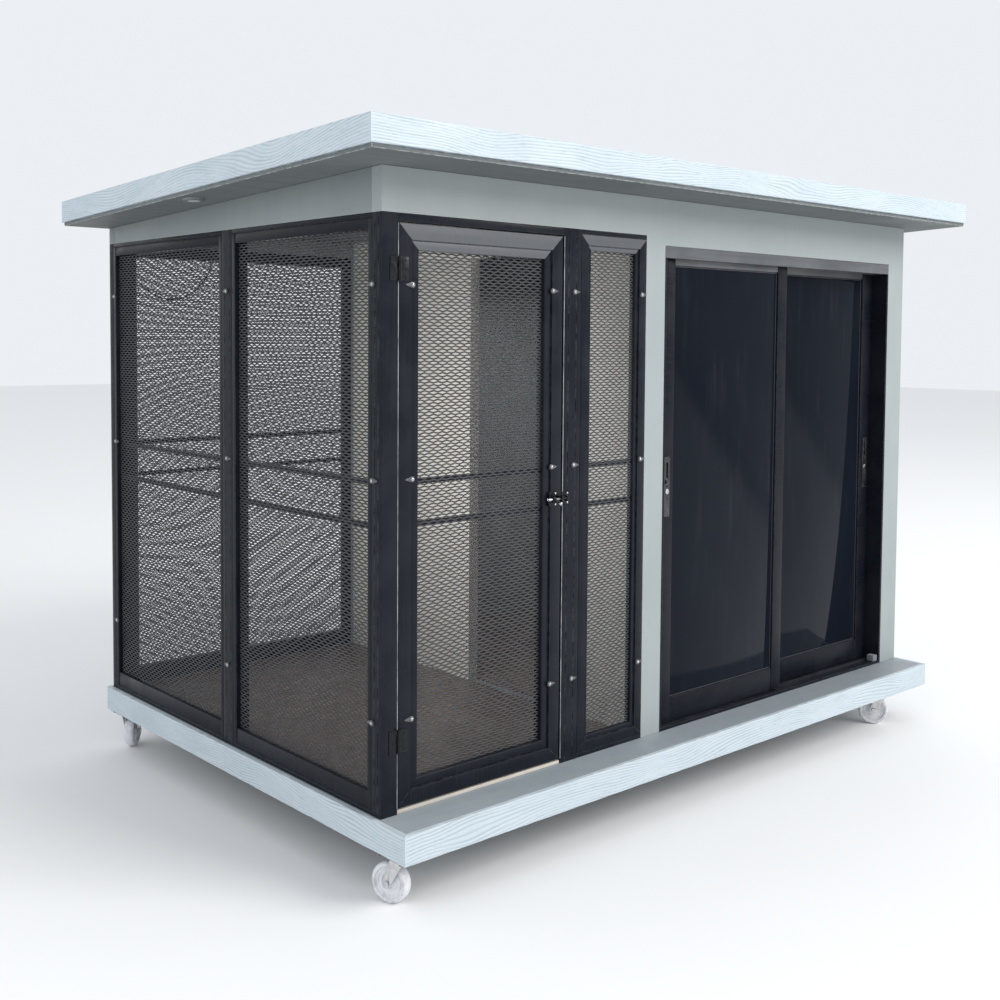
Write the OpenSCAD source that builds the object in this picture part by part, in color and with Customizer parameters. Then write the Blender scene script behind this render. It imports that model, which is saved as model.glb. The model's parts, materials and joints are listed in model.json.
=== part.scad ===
// Wheeled animal house: a framed mesh porch with a swing door on the left,
// a closed room with a two-sash sliding glass door on the right, on a deck with four swivel casters.
// Millimetres. +X runs along the long front side, the front faces -Y, +Z is up.
// The origin is on the ground, under the middle of the roof.

/* [House] */
// Outside length of the walls along the front
house_l = 2294; // [1900:2:2800]
// Outside depth of the walls, front to back
house_w = 1477; // [1200:1:1800]
// Height from the deck to the underside of the header boards
wall_h = 1440; // [1200:1:1800]
// Height of the front header board, from its underside to the soffit
header_h = 108; // [90:1:160]
// Fall of the roof towards the back, in degrees
roof_pitch = 2.2; // [1:0.1:3]
// Thickness of the walls and the header boards
wall_t = 40; // [30:1:60]

/* [Deck] */
// How far the deck stands out in front of the wall
deck_front = 118; // [80:1:160]
// How far the deck stands out at the two ends and the back
deck_side = 17; // [14:1:40]
// Thickness of the deck board
deck_t = 15; // [12:1:22]
// Height of the trim boards round the deck
trim_h = 73; // [60:1:100]
// Thickness of the trim boards
trim_t = 12; // [8:1:14]
// Width of the steel tubes under the deck
rail_w = 40; // [30:1:50]
// Wall of the steel tubes
tube_t = 2; // [1.5:0.5:3]
// Thickness of the floor sheets
floor_t = 6; // [3:1:10]

/* [Roof] */
// Overhang of the roof at the front
eave_front = 165; // [100:1:200]
// Overhang of the roof at the left end
eave_left = 150; // [60:1:200]
// Overhang of the roof at the right end
eave_right = 135; // [60:1:200]
// Overhang of the roof at the back
eave_back = 20; // [16:1:150]
// Height of the fascia boards
fascia_h = 65; // [50:1:100]
// Thickness of the fascia boards
fascia_t = 12; // [8:1:20]
// Thickness of the soffit board
soffit_t = 10; // [6:1:15]
// How far the soffit board stands back from the fascia face
soffit_back = 8; // [4:1:12]
// Depth of the roof sheet below the top of the fascia
roof_drop = 5; // [2:1:12]
// Diameter of the round soffit light
light_d = 62; // [40:1:90]

/* [Porch] */
// Length of the porch, up to the wall strip
porch_l = 923; // [820:1:1150]
// Width of the corner post along the front, and of every post across the porch
post_l = 50; // [40:1:60]
// Width of the corner post along the side
post_w = 38; // [30:1:50]
// Wall of the aluminium post tubes
post_t = 3; // [2:0.5:4]
// Clear width of the front side bay
front_bay = 656; // [500:1:760]
// Width of the middle side post
mid_post_w = 55; // [40:1:70]
// Width of the rear side post
rear_post_w = 28; // [24:1:40]
// Height of the bottom and top channels of the fixed panels
track_h = 12; // [8:1:20]
// Depth of the fixed panel frames
panel_d = 25; // [20:1:30]
// Width of the side panel stiles
panel_stile = 16; // [12:1:30]
// Height of the side panel top rails
panel_top = 26; // [20:1:40]
// Height of the side panel bottom rails
panel_bottom = 43; // [30:1:60]
// Width of the frame round the narrow front panel
narrow_face = 42; // [36:1:46]
// Width of the stepped bead round the narrow front panel
narrow_bead = 14; // [8:1:24]
// Width of the back panel stiles
back_stile = 30; // [16:1:50]
// Thickness of the mesh sheets
mesh_t = 1.5; // [1:0.5:3]
// Height of the two flat bars behind each mesh
bar_h = 14; // [10:1:20]
// Thickness of the two flat bars
bar_t = 8; // [5:1:9]
// Height of the lower bar above the deck
bar_low = 688; // [500:1:760]
// Height of the upper bar above the deck
bar_high = 793; // [780:1:900]

/* [Partition] */
// Distance of the doorway from the front of the house
doorway_y0 = 230; // [120:1:300]
// Width of the doorway between the porch and the room
doorway_l = 538; // [400:1:640]
// Height of the doorway
doorway_h = 1409; // [900:1:1700]

/* [Mesh door] */
// Width of the mesh door leaf
door_l = 540; // [450:1:660]
// Gap between the door and the post on the hinge side
hinge_gap = 1.5; // [1:0.1:3]
// Gap between the door and the post on the latch side
latch_gap = 5; // [3:1:8]
// Gap under the door
door_foot = 14; // [12:1:25]
// Gap between the door and the channel above it
door_head = 3; // [2:1:6]
// Height of the channel above the door
door_track = 20; // [14:1:30]
// Thickness of the door
door_d = 32; // [26:1:36]
// Width of the door frame members
door_face = 62; // [50:1:80]
// Width of the stepped bead along the inside of a frame member
bead_w = 24; // [12:1:30]
// How far the bead stands back
bead_step = 4; // [2:1:6]
// Width of the post between the door and the narrow panel
door_post_l = 65; // [50:1:80]
// Depth of the post between the door and the narrow panel
door_post_w = 45; // [38:1:60]
// Height of the cream sill strip under the door
sill_strip = 9; // [6:1:11]

/* [Hinges and latch] */
// Height of each hinge
hinge_h = 57; // [45:3:75]
// Width of a hinge leaf
leaf_w = 22; // [16:1:26]
// Thickness of a hinge leaf
leaf_t = 2; // [1.5:0.5:3]
// Outside radius of the hinge knuckles
knuckle_r = 4.5; // [4:0.5:5]
// Radius of the hinge pins
pin_r = 2.5; // [2:0.25:3]
// Running clearance of pins, shafts and rods, on the radius
run = 0.06; // [0.03:0.01:0.1]
// Height of the lower hinge above the deck
hinge_low = 178; // [120:1:260]
// Distance of the upper hinge below the header
hinge_drop = 131; // [100:1:200]
// Height of the latch above the deck
latch_z = 722; // [600:1:900]
// Radius of the latch bolt
bolt_r = 4; // [3:0.5:5]
// Travel of the latch bolt
bolt_throw = 16; // [12:1:17]

/* [Sliding door] */
// Width of the wall strip between the porch and the sliding door
strip_l = 81; // [50:1:140]
// Width of the wall strip at the right end
strip_r = 96; // [60:1:160]
// Height of the wall above the sliding door, up to the header
lintel_h = 24; // [15:1:60]
// Depth of the sliding door frame
slider_d = 98; // [96:1:110]
// Thickness of the side jambs
jamb_t = 8; // [6:1:20]
// Height of the head member
head_h = 34; // [30:1:50]
// Thickness of the sill plate
slide_sill = 9; // [6:1:12]
// Height of the track ribs on the sill
rib_h = 8; // [6:1:9]
// Thickness of the sashes
sash_t = 28; // [24:1:30]
// Depth of the front sash behind the front of the frame
sash_back = 20; // [14:1:22]
// Distance between the two sash tracks
track_pitch = 38; // [36:1:42]
// Width of the lock stiles
lock_stile = 60; // [45:1:80]
// Width of the meeting stiles
meet_stile = 47; // [35:1:60]
// Height of the sash top rails
sash_top = 38; // [30:1:60]
// Height of the sash bottom rails
sash_bottom = 72; // [60:1:100]
// Thickness of the glass
glass_t = 5; // [4:1:8]
// Height of the lock plates
lock_h = 176; // [140:2:220]
// Width of the lock plates
lock_w = 24; // [20:1:30]
// Height of the lock plate centres above the deck
lock_z = 716; // [600:1:900]
// Thickness of the lock plates
lock_t = 3; // [2:0.5:4]
// Width of the slot in a lock plate
lock_slot = 8; // [6:1:10]
// Radius of the key barrels
barrel_r = 8; // [6:0.5:9]
// Length of the glide blocks under a sash
glide_l = 60; // [40:1:80]
// Distance of a glide block from the end of its sash
glide_inset = 40; // [20:1:80]
// Length of the rubber stop on the sill
stop_l = 26; // [15:1:40]
// Height of the rubber stop above the sill
stop_h = 22; // [16:1:26]

/* [Casters] */
// Height of a caster, ground to deck frame
caster_h = 125; // [118:1:150]
// Diameter of the wheels
wheel_d = 100; // [80:1:108]
// Width of the wheels
wheel_w = 32; // [24:1:36]
// Distance of the wheel centre behind the swivel
trail = 30; // [24:1:40]
// Radius of the wheel axle bolts
axle_r = 5; // [4:0.5:6]
// Length of the top plates
plate_l = 100; // [90:1:110]
// Width of the top plates
plate_w = 84; // [76:1:90]
// Thickness of the top plates
plate_t = 4; // [3:0.5:6]
// Distance of the swivels from the deck ends
inset_end = 47; // [46:1:90]
// Distance of the swivels from the deck front and back
inset_side = 73; // [56:1:120]
// Distance of the right front and right back swivels from the right deck end
inset_right = 170; // [56:1:300]

/* [Clips] */
// Diameter of the round end of a panel clip
clip_d = 15; // [12:1:20]
// Length of a panel clip from screw to tip
clip_l = 20; // [14:1:24]
// Thickness of a panel clip
clip_t = 4; // [3:0.5:6]
// Diameter of the clip screw heads
screw_d = 9; // [7:0.5:11]
// Height of the clip screw heads
screw_h = 3; // [2:0.5:4]

/* [Cable] */
// Diameter of the cable in the porch
cable_d = 5; // [4:0.5:7]

/* [Hidden] */
$fn = 48;

// Hairline left between pieces that meet
gap = 0.3;
// Running gap between the sashes and their tracks
slide_gap = 1;

slope = tan(roof_pitch);
deck_z = caster_h + trim_h;
site_x = (house_l + eave_right - eave_left) / 2;
site_y = (house_w + eave_back - eave_front) / 2;
deck_x0 = -deck_side;
deck_x1 = house_l + deck_side;
deck_y0 = -deck_front;
deck_y1 = house_w + deck_side;
rail_h = trim_h - deck_t - gap;

// Side bays and front stations
front_bay_y0 = post_w + gap;
front_bay_y1 = post_w + front_bay - gap;
mid_y0 = post_w + front_bay;
mid_y1 = mid_y0 + mid_post_w;
rear_bay_y0 = mid_y1 + gap;
rear_bay_y1 = house_w - rear_post_w - gap;
door_x0 = post_l + hinge_gap;
door_x1 = door_x0 + door_l;
door_post_x0 = door_x1 + latch_gap;
door_post_x1 = door_post_x0 + door_post_l;
panel_z0 = track_h + gap;
panel_h = wall_h - 2 * track_h - 3 * gap;
door_z1 = wall_h - gap - door_track - door_head;
door_h = door_z1 - door_foot;

// Sliding door stations
slider_x0 = porch_l + strip_l + gap;
slider_x1 = house_l - strip_r - gap;
slider_l = slider_x1 - slider_x0;
slider_h = wall_h - lintel_h - 2 * gap;
sash_l = (slider_l - 2 * jamb_t - 2 * slide_gap + meet_stile) / 2;
sash_z0 = slide_sill + 3;
channel_top = slider_h - 12;
sash_h = channel_top - 2 - sash_z0;
sash_y = [sash_back, sash_back + track_pitch];
left_sash_x = slider_x0 + jamb_t + slide_gap;
right_sash_x = slider_x1 - jamb_t - slide_gap - sash_l;
glide_h = 12;
groove_w = 6;
rib_w = 3;

// Hinge and latch stations
hinge_x = post_l + hinge_gap / 2;
hinge_y = -knuckle_r - gap;
hinge_zs = [hinge_low, wall_h - hinge_drop];
bolt_y = -10;
lug_l = 8;
lug_x = [door_x1 - 43, door_x1 - 11];
knob_r = 3.5;

// Clip heights above the deck
clip_zs = [226, 808, wall_h - 168];
side_clip_ys = [post_w - 4, mid_y0 + mid_post_w / 2, house_w - rear_post_w - 12];

// Swivel places and the way each wheel trails, in degrees from +X
casters = [
    [deck_x0 + inset_end, deck_y0 + inset_side, 110.5],
    [deck_x1 - inset_right, deck_y0 + inset_side, 128],
    [deck_x0 + inset_end, deck_y1 - inset_side, 48],
    [deck_x1 - inset_right, deck_y1 - inset_side, 35]
];

// Route of the cable: out of the ceiling, down in a slack bow and up to the back frame
cable_points = [
    [352, 1425, 1493.2], [352, 1425, 1478], [351, 1425, 1456], [347, 1425, 1428], [339, 1425, 1396],
    [326, 1425, 1364], [308, 1425, 1334], [284, 1425, 1307], [256, 1425, 1286], [224, 1425, 1272],
    [190, 1425, 1267], [156, 1426, 1271], [124, 1428, 1283], [98, 1431, 1301], [80, 1436, 1320],
    [70, 1443, 1336], [67, 1450.2, 1342.5]
];

// Underside of the soffit at a distance y behind the front wall
function soffit_z(y) = wall_h + header_h - slope * y;

// ---- Shared shapes ----

// Puts a shape that is drawn from the front left foot of the wall into the model's frame
module site() {
    translate([-site_x, -site_y, deck_z]) children();
}

// A box from its low corner to its high corner
module block(low, high) {
    translate(low) cube(high - low);
}

// A prism over an outline in X and Z, from y0 to y1
module prism_y(points, y0, y1) {
    translate([0, y1, 0]) rotate([90, 0, 0]) linear_extrude(y1 - y0) polygon(points);
}

// A prism over an outline in Y and Z, from x0 to x1
module prism_x(points, x0, x1) {
    translate([x0, 0, 0]) rotate([90, 0, 90]) linear_extrude(x1 - x0) polygon(points);
}

// A length of wall under the sloping soffit, between two depths and two lengths
module sloped_block(x0, x1, y0, y1, z0) {
    prism_x([
        [y0, z0], [y1, z0], [y1, soffit_z(y1) - gap], [y0, soffit_z(y0) - gap]
    ], x0, x1);
}

// A slab between two planes that follow the soffit
module sloped_slab(x0, x1, y0, y1, low, high) {
    prism_x([
        [y0, soffit_z(y0) + low], [y1, soffit_z(y1) + low],
        [y1, soffit_z(y1) + high], [y0, soffit_z(y0) + high]
    ], x0, x1);
}

// Outline of a board or frame member of length l and width w whose two ends are cut at 45 degrees
function mitred(l, w) = [[gap, 0], [l - gap, 0], [l - w - gap, w], [w + gap, w]];

// One tall mitred board of the ring round a rectangle; side is 0 front, 1 right, 2 back, 3 left
module ring_board(x0, x1, y0, y1, t, side) {
    corner = [[x0, y0], [x1, y0], [x1, y1], [x0, y1]][side];
    l = side % 2 == 0 ? x1 - x0 : y1 - y0;
    translate(corner) rotate(90 * side) polygon(mitred(l, t));
}

// An upright hollow tube
module post_tube(x0, x1, y0, y1, h, t) {
    difference() {
        block([x0, y0, 0], [x1, y1, h]);
        block([x0 + t, y0 + t, -1], [x1 - t, y1 - t, h + 1]);
    }
}

// One member of a mitred frame along +X, with its flat face and its stepped inner bead
module profile_member(l, face, bead, depth) {
    flat = face - bead;
    translate([0, depth, 0]) rotate([90, 0, 0]) linear_extrude(depth) polygon(mitred(l, flat));
    translate([0, depth, 0]) rotate([90, 0, 0]) linear_extrude(depth - bead_step)
        polygon([[flat + gap, flat], [l - flat - gap, flat], [l - face - gap, face], [face + gap, face]]);
}

// A frame of four mitred members, l by h, its front at y = 0
module mitred_frame(l, h, face, bead, depth) {
    profile_member(l, face, bead, depth);
    translate([l, 0, 0]) rotate([0, -90, 0]) profile_member(h, face, bead, depth);
    translate([l, 0, h]) rotate([0, 180, 0]) profile_member(l, face, bead, depth);
    translate([0, 0, h]) rotate([0, 90, 0]) profile_member(h, face, bead, depth);
}

// A frame of two stiles and two rails with square joints, its front at y = 0
module butt_frame(l, h, stile, top, bottom, depth) {
    for (x = [0, l - stile]) block([x, 0, 0], [x + stile, depth, h]);
    block([stile + gap, 1, 0], [l - stile - gap, depth, bottom]);
    block([stile + gap, 1, h - top], [l - stile - gap, depth, h]);
}

// The sheet that fills a frame opening, its front at y = front
module infill(x0, x1, z0, z1, front, t) {
    block([x0 + gap, front, z0 + gap], [x1 - gap, front + t, z1 - gap]);
}

// The two flat bars behind a mesh, for a frame whose foot stands at height z0
module bars(x0, x1, front, z0) {
    for (z = [bar_low, bar_high])
        block([x0 + gap, front, z - z0], [x1 - gap, front + bar_t, z - z0 + bar_h]);
}

// Turns a front-facing shape to the left side; its own x = 0 lands on y1
module to_left(y1) {
    translate([0, y1, 0]) rotate([0, 0, -90]) children();
}

// Turns a front-facing shape to the back; its own x = 0 lands on x1
module to_back(x1) {
    translate([x1, house_w, 0]) rotate([0, 0, 180]) children();
}

// A turned clip with its screw on a front face, its tip pointing along the angle a
module clip(x, z, a) {
    translate([x, -gap, z]) rotate([90, 0, 0]) {
        union() {
            cylinder(d = clip_d, h = clip_t);
            rotate(a) linear_extrude(clip_t)
                polygon([
                    [0, clip_d * 0.4], [clip_l, clip_d * 0.12],
                    [clip_l, -clip_d * 0.12], [0, -clip_d * 0.4]
                ]);
        }
        translate([0, 0, clip_t + gap]) cylinder(d1 = screw_d, d2 = screw_d * 0.6, h = screw_h);
    }
}

// ---- Deck ----

module base_rails() color("dimgray") site() {
    x0 = deck_x0 + trim_t + gap;
    x1 = deck_x1 - trim_t - gap;
    y0 = deck_y0 + trim_t + gap;
    y1 = deck_y1 - trim_t - gap;
    for (y = [y0, (y0 + y1 - rail_w) / 2, y1 - rail_w])
        translate([0, 0, -trim_h]) difference() {
            block([x0, y, 0], [x1, y + rail_w, rail_h]);
            block([x0 - 1, y + tube_t, tube_t], [x1 + 1, y + rail_w - tube_t, rail_h - tube_t]);
        }
    half = (y1 - y0 - 3 * rail_w) / 2;
    for (x = [x0, x0 + (x1 - x0 - rail_w) / 3, x0 + 2 * (x1 - x0 - rail_w) / 3, x1 - rail_w])
        for (y = [y0 + rail_w, y0 + 2 * rail_w + half])
            translate([0, 0, -trim_h]) difference() {
                block([x, y + gap, 0], [x + rail_w, y + half - gap, rail_h]);
                block([x + tube_t, y - 1, tube_t], [x + rail_w - tube_t, y + half + 1, rail_h - tube_t]);
            }
}

module deck_board() color("slategray") site() {
    inset = trim_t + gap;
    block([deck_x0 + inset, deck_y0 + inset, -deck_t], [deck_x1 - inset, deck_y1 - inset, 0]);
}

module floor_sheets() color("saddlebrown") site() {
    inner = max(post_l, post_w, door_post_w) + 1;
    block([post_l + 1, inner, gap], [porch_l - gap, house_w - inner, floor_t]);
    block([porch_l + wall_t + gap, slider_d + 1, gap],
        [house_l - wall_t - gap, house_w - wall_t - gap, floor_t]);
}

module deck_trims(sides) site() {
    for (side = sides) translate([0, 0, -trim_h]) linear_extrude(trim_h)
        ring_board(deck_x0, deck_x1, deck_y0, deck_y1, trim_t, side);
}

module deck_trims_long() color("lightsteelblue") deck_trims([0, 2]);

module deck_trims_short() color("lightsteelblue") deck_trims([1, 3]);

// ---- Casters ----

race_r = 26;
race_h = 6;
crown_t = 5;
crown_z = caster_h - plate_t - race_h - gap;
kingpin_r = 6;
kingpin_nut_h = 4;
wheel_z = wheel_d / 2;
fork_gap = 2;
fork_t = 3;

// Puts a caster shape at its swivel, with the wheel trailing along its own +X
module caster(i) {
    translate([casters[i][0] - site_x, casters[i][1] - site_y, 0]) rotate(casters[i][2]) children();
}

module caster_plates() color("dimgray") {
    for (c = casters) translate([c[0] - site_x, c[1] - site_y, caster_h - plate_t]) {
        translate([-plate_w / 2, -plate_l / 2, 0]) cube([plate_w, plate_l, plate_t - gap]);
        translate([0, 0, -race_h]) cylinder(r = race_r, h = race_h);
        kingpin_l = race_h + crown_t + 2 * gap;
        translate([0, 0, -kingpin_l]) cylinder(r = kingpin_r, h = kingpin_l);
        translate([0, 0, -kingpin_l - kingpin_nut_h]) cylinder(d = 20, h = kingpin_nut_h, $fn = 6);
        for (x = [-1, 1], y = [-1, 1]) translate([x * (plate_w / 2 - 10), y * (plate_l / 2 - 10), -5 - gap])
            cylinder(d = 13, h = 5, $fn = 6);
    }
}

// The swivel crown, two legs and the axle bolt across them
module fork(i) color("silver") caster(i) {
    inner = wheel_w / 2 + fork_gap;
    difference() {
        union() {
            translate([0, 0, crown_z - crown_t]) cylinder(r = race_r, h = crown_t);
            for (s = [-1, 1]) translate([0, s * inner + (s < 0 ? 0 : fork_t), 0])
                rotate([90, 0, 0]) linear_extrude(fork_t) polygon([
                    [-race_r * 0.7, crown_z - crown_t / 2], [race_r * 0.8, crown_z - crown_t / 2],
                    [trail + 13, wheel_z + 4], [trail + 9, wheel_z - 10],
                    [trail - 9, wheel_z - 10], [trail - 13, wheel_z + 4]
                ]);
        }
        translate([trail, 0, wheel_z]) rotate([90, 0, 0])
            cylinder(r = axle_r, h = 4 * wheel_w, center = true);
        translate([0, 0, crown_z - crown_t - 1]) cylinder(r = kingpin_r + run, h = crown_t + 2);
    }
    translate([trail, 0, wheel_z]) rotate([90, 0, 0]) {
        cylinder(r = axle_r - 0.02, h = 2 * (inner + fork_t) + 2 * gap, center = true);
        for (s = [-1, 1]) translate([0, 0, s * (inner + fork_t + gap + 3)])
            cylinder(d = 17, h = 6, center = true, $fn = 6);
    }
}

// A moulded wheel with a tread rim, a dished web and a hub
module wheel(i) color("whitesmoke") caster(i) {
    hub_r = 13;
    bore_r = axle_r + run;
    rim_r = wheel_d / 2 - 10;
    web = wheel_w / 2 - 7;
    translate([trail, 0, wheel_z]) rotate([90, 0, 0]) rotate_extrude($fn = 96) polygon([
        [bore_r, -wheel_w / 2], [hub_r, -wheel_w / 2], [hub_r + 2, -web], [rim_r - 3, -web],
        [rim_r, -wheel_w / 2 + 1], [rim_r + 5, -wheel_w / 2 + 1], [wheel_d / 2 - 2, -wheel_w / 2 + 4],
        [wheel_d / 2, -wheel_w / 5], [wheel_d / 2, wheel_w / 5], [wheel_d / 2 - 2, wheel_w / 2 - 4],
        [rim_r + 5, wheel_w / 2 - 1], [rim_r, wheel_w / 2 - 1], [rim_r - 3, web], [hub_r + 2, web],
        [hub_r, wheel_w / 2], [bore_r, wheel_w / 2]
    ]);
}

// ---- Walls ----

module front_wall() color("darkgray") site() {
    sloped_block(0, house_l, 0, wall_t, wall_h);
    block([porch_l, 0, 0], [porch_l + strip_l, wall_t, wall_h - gap]);
    block([house_l - strip_r, 0, 0], [house_l, wall_t, wall_h - gap]);
    block([slider_x0, 0, slider_h + gap], [slider_x1, wall_t, wall_h - gap]);
}

module right_wall() color("darkgray") site()
    sloped_block(house_l - wall_t, house_l, wall_t + gap, house_w - wall_t - gap, 0);

module back_wall() color("darkgray") site()
    sloped_block(porch_l, house_l, house_w - wall_t, house_w, 0);

module porch_headers() color("darkgray") site() {
    sloped_block(0, wall_t, wall_t + gap, house_w - wall_t - gap, wall_h);
    sloped_block(0, porch_l - gap, house_w - wall_t, house_w, wall_h);
}

module partition_wall() color("gainsboro") site() {
    y0 = wall_t + gap;
    y1 = house_w - wall_t - gap;
    x1 = porch_l + wall_t;
    door_top = min(doorway_h, wall_h - 20);
    block([porch_l, y0, 0], [x1, doorway_y0, door_top]);
    block([porch_l, doorway_y0 + doorway_l, 0], [x1, y1, door_top]);
    sloped_block(porch_l, x1, y0, y1, door_top + gap);
}

// ---- Roof ----

roof_x0 = -eave_left;
roof_x1 = house_l + eave_right;
roof_y0 = -eave_front;
roof_y1 = house_w + eave_back;

module roof_panel() color("lightgray") site() {
    inset = fascia_t + gap;
    sloped_slab(roof_x0 + inset, roof_x1 - inset, roof_y0 + inset, roof_y1 - inset,
        soffit_t + gap, soffit_t + fascia_h - roof_drop);
}

module soffit_board() color("gray") site()
    sloped_slab(roof_x0 + soffit_back, roof_x1 - soffit_back, roof_y0 + soffit_back, roof_y1 - soffit_back,
        0, soffit_t);

module fascia(side) site() {
    intersection() {
        sloped_slab(roof_x0 - 1, roof_x1 + 1, roof_y0 - 1, roof_y1 + 1, soffit_t + gap, soffit_t + fascia_h);
        translate([0, 0, wall_h]) linear_extrude(header_h + 300)
            ring_board(roof_x0, roof_x1, roof_y0, roof_y1, fascia_t, side);
    }
}

module fascias_long() color("lightsteelblue") for (side = [0, 2]) fascia(side);

module fascias_short() color("lightsteelblue") for (side = [1, 3]) fascia(side);

module soffit_light() color("white") site()
    translate([-eave_left * 0.6, house_w / 2, soffit_z(house_w / 2) - gap]) rotate([-roof_pitch, 0, 0])
        translate([0, 0, -6]) cylinder(d1 = light_d - 8, d2 = light_d, h = 6);

// ---- Fixed porch ----

module porch_posts() color("#202224") site() {
    post_h = wall_h - gap;
    post_tube(0, post_l, 0, post_w, post_h, post_t);
    post_tube(0, post_l, mid_y0, mid_y1, post_h, post_t);
    post_tube(0, post_l, house_w - rear_post_w, house_w, post_h, post_t);
    post_tube(door_post_x0, door_post_x1, 0, door_post_w, post_h, post_t);
}

module porch_tracks() color("#1c1d1f") site() {
    for (z = [0, wall_h - gap - track_h]) {
        block([0, front_bay_y0, z], [panel_d, front_bay_y1, z + track_h]);
        block([0, rear_bay_y0, z], [panel_d, rear_bay_y1, z + track_h]);
        block([door_post_x1 + gap, 0, z], [porch_l - gap, panel_d, z + track_h]);
        block([post_l + gap, house_w - panel_d, z], [porch_l - gap, house_w, z + track_h]);
    }
    block([post_l + gap, 0, wall_h - gap - door_track], [door_post_x0 - gap, door_d, wall_h - gap]);
}

module front_side_frame() color("#202224") site() to_left(front_bay_y1) translate([0, 0, panel_z0])
    butt_frame(front_bay_y1 - front_bay_y0, panel_h, panel_stile, panel_top, panel_bottom, panel_d);

module rear_side_frame() color("#202224") site() to_left(rear_bay_y1) translate([0, 0, panel_z0])
    butt_frame(rear_bay_y1 - rear_bay_y0, panel_h, panel_stile, panel_top, panel_bottom, panel_d);

module back_frame() color("#202224") site() to_back(porch_l - gap) translate([0, 0, panel_z0])
    butt_frame(porch_l - post_l - 2 * gap, panel_h, back_stile, panel_top, panel_bottom, panel_d);

narrow_x0 = door_post_x1 + gap;
narrow_x1 = porch_l - gap;

module narrow_frame() color("#202224") site() translate([narrow_x0, 0, panel_z0])
    mitred_frame(narrow_x1 - narrow_x0, panel_h, narrow_face, narrow_bead, panel_d);

module butt_mesh(l, stile) {
    infill(stile, l - stile, panel_bottom, panel_h - panel_top, panel_d / 2, mesh_t);
}

module front_side_mesh() color("#303234") site() to_left(front_bay_y1) translate([0, 0, panel_z0])
    butt_mesh(front_bay_y1 - front_bay_y0, panel_stile);

module rear_side_mesh() color("#303234") site() to_left(rear_bay_y1) translate([0, 0, panel_z0])
    butt_mesh(rear_bay_y1 - rear_bay_y0, panel_stile);

module back_mesh() color("#303234") site() to_back(porch_l - gap) translate([0, 0, panel_z0])
    butt_mesh(porch_l - post_l - 2 * gap, back_stile);

module narrow_mesh() color("#303234") site() translate([narrow_x0, 0, panel_z0])
    infill(narrow_face, narrow_x1 - narrow_x0 - narrow_face, narrow_face, panel_h - narrow_face,
        panel_d / 2, mesh_t);

module panel_bars() color("#1c1d1f") site() {
    front = panel_d / 2 + mesh_t + gap;
    translate([0, 0, panel_z0]) {
        to_left(front_bay_y1)
            bars(panel_stile, front_bay_y1 - front_bay_y0 - panel_stile, front, panel_z0);
        to_left(rear_bay_y1)
            bars(panel_stile, rear_bay_y1 - rear_bay_y0 - panel_stile, front, panel_z0);
        to_back(porch_l - gap)
            bars(back_stile, porch_l - post_l - 2 * gap - back_stile, front, panel_z0);
        translate([narrow_x0, 0, 0])
            bars(narrow_face, narrow_x1 - narrow_x0 - narrow_face, front, panel_z0);
    }
}

module panel_clips() color("#303030") site() {
    for (z = clip_zs) {
        to_left(0) for (y = side_clip_ys) clip(-y, z, z == clip_zs[1] ? 0 : 180);
        clip(door_post_x0 + door_post_l * 0.6, z, 0);
        clip(narrow_x1 - 20, z, 0);
    }
}

module door_sill() color("wheat") site()
    block([post_l + gap, 2, gap], [door_post_x0 - gap, door_d, sill_strip]);

// ---- Mesh door ----

module door_frame() color("#202224") site() translate([door_x0, 0, door_foot])
    mitred_frame(door_l, door_h, door_face, bead_w, door_d);

module door_mesh() color("#303234") site() translate([door_x0, 0, door_foot])
    infill(door_face, door_l - door_face, door_face, door_h - door_face, door_d / 2, mesh_t);

module door_bars() color("#1c1d1f") site() translate([door_x0, 0, door_foot])
    bars(door_face, door_l - door_face, door_d / 2 + mesh_t + gap, door_foot);

module door_clips() color("#303030") site() {
    flat_x = door_face - bead_w;
    for (z = clip_zs) {
        clip(door_x0 + flat_x, z, 180);
        clip(door_x1 - flat_x, z, 0);
    }
}

// Z spans of the knuckles of one hinge leaf: the post leaf has the two outer ones
function knuckles(outer) = outer ? [[0, hinge_h / 3 - gap], [2 * hinge_h / 3 + gap, hinge_h]]
    : [[hinge_h / 3, 2 * hinge_h / 3]];

// One hinge leaf; side is 1 for the door leaf and -1 for the post leaf
module hinge_leaf(side, outer) {
    reach = knuckle_r + 0.5;
    difference() {
        union() {
            for (k = knuckles(outer)) translate([0, 0, k[0]]) {
                cylinder(r = knuckle_r, h = k[1] - k[0]);
                translate([side > 0 ? 0 : -reach - 1, knuckle_r - leaf_t, 0])
                    cube([reach + 1, leaf_t, k[1] - k[0]]);
            }
            translate([side > 0 ? reach : -reach - leaf_w, knuckle_r - leaf_t, 0])
                cube([leaf_w, leaf_t, hinge_h]);
        }
        translate([0, 0, -1]) cylinder(r = pin_r + run, h = hinge_h + 2);
    }
}

module hinges(side, outer) site() for (z = hinge_zs)
    translate([hinge_x, hinge_y, z - hinge_h / 2]) hinge_leaf(side, outer);

module door_hinge_leaves() color("#18191a") hinges(1, false);

module post_hinge_leaves() color("#18191a") hinges(-1, true);

module hinge_pins() color("dimgray") site() for (z = hinge_zs)
    translate([hinge_x, hinge_y, z - hinge_h / 2]) {
        translate([0, 0, -gap]) cylinder(r = pin_r, h = hinge_h + 2 * gap);
        for (end = [-gap - 1.5, hinge_h + gap]) translate([0, 0, end]) cylinder(r = knuckle_r - 0.5, h = 1.5);
    }

// ---- Latch ----

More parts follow.
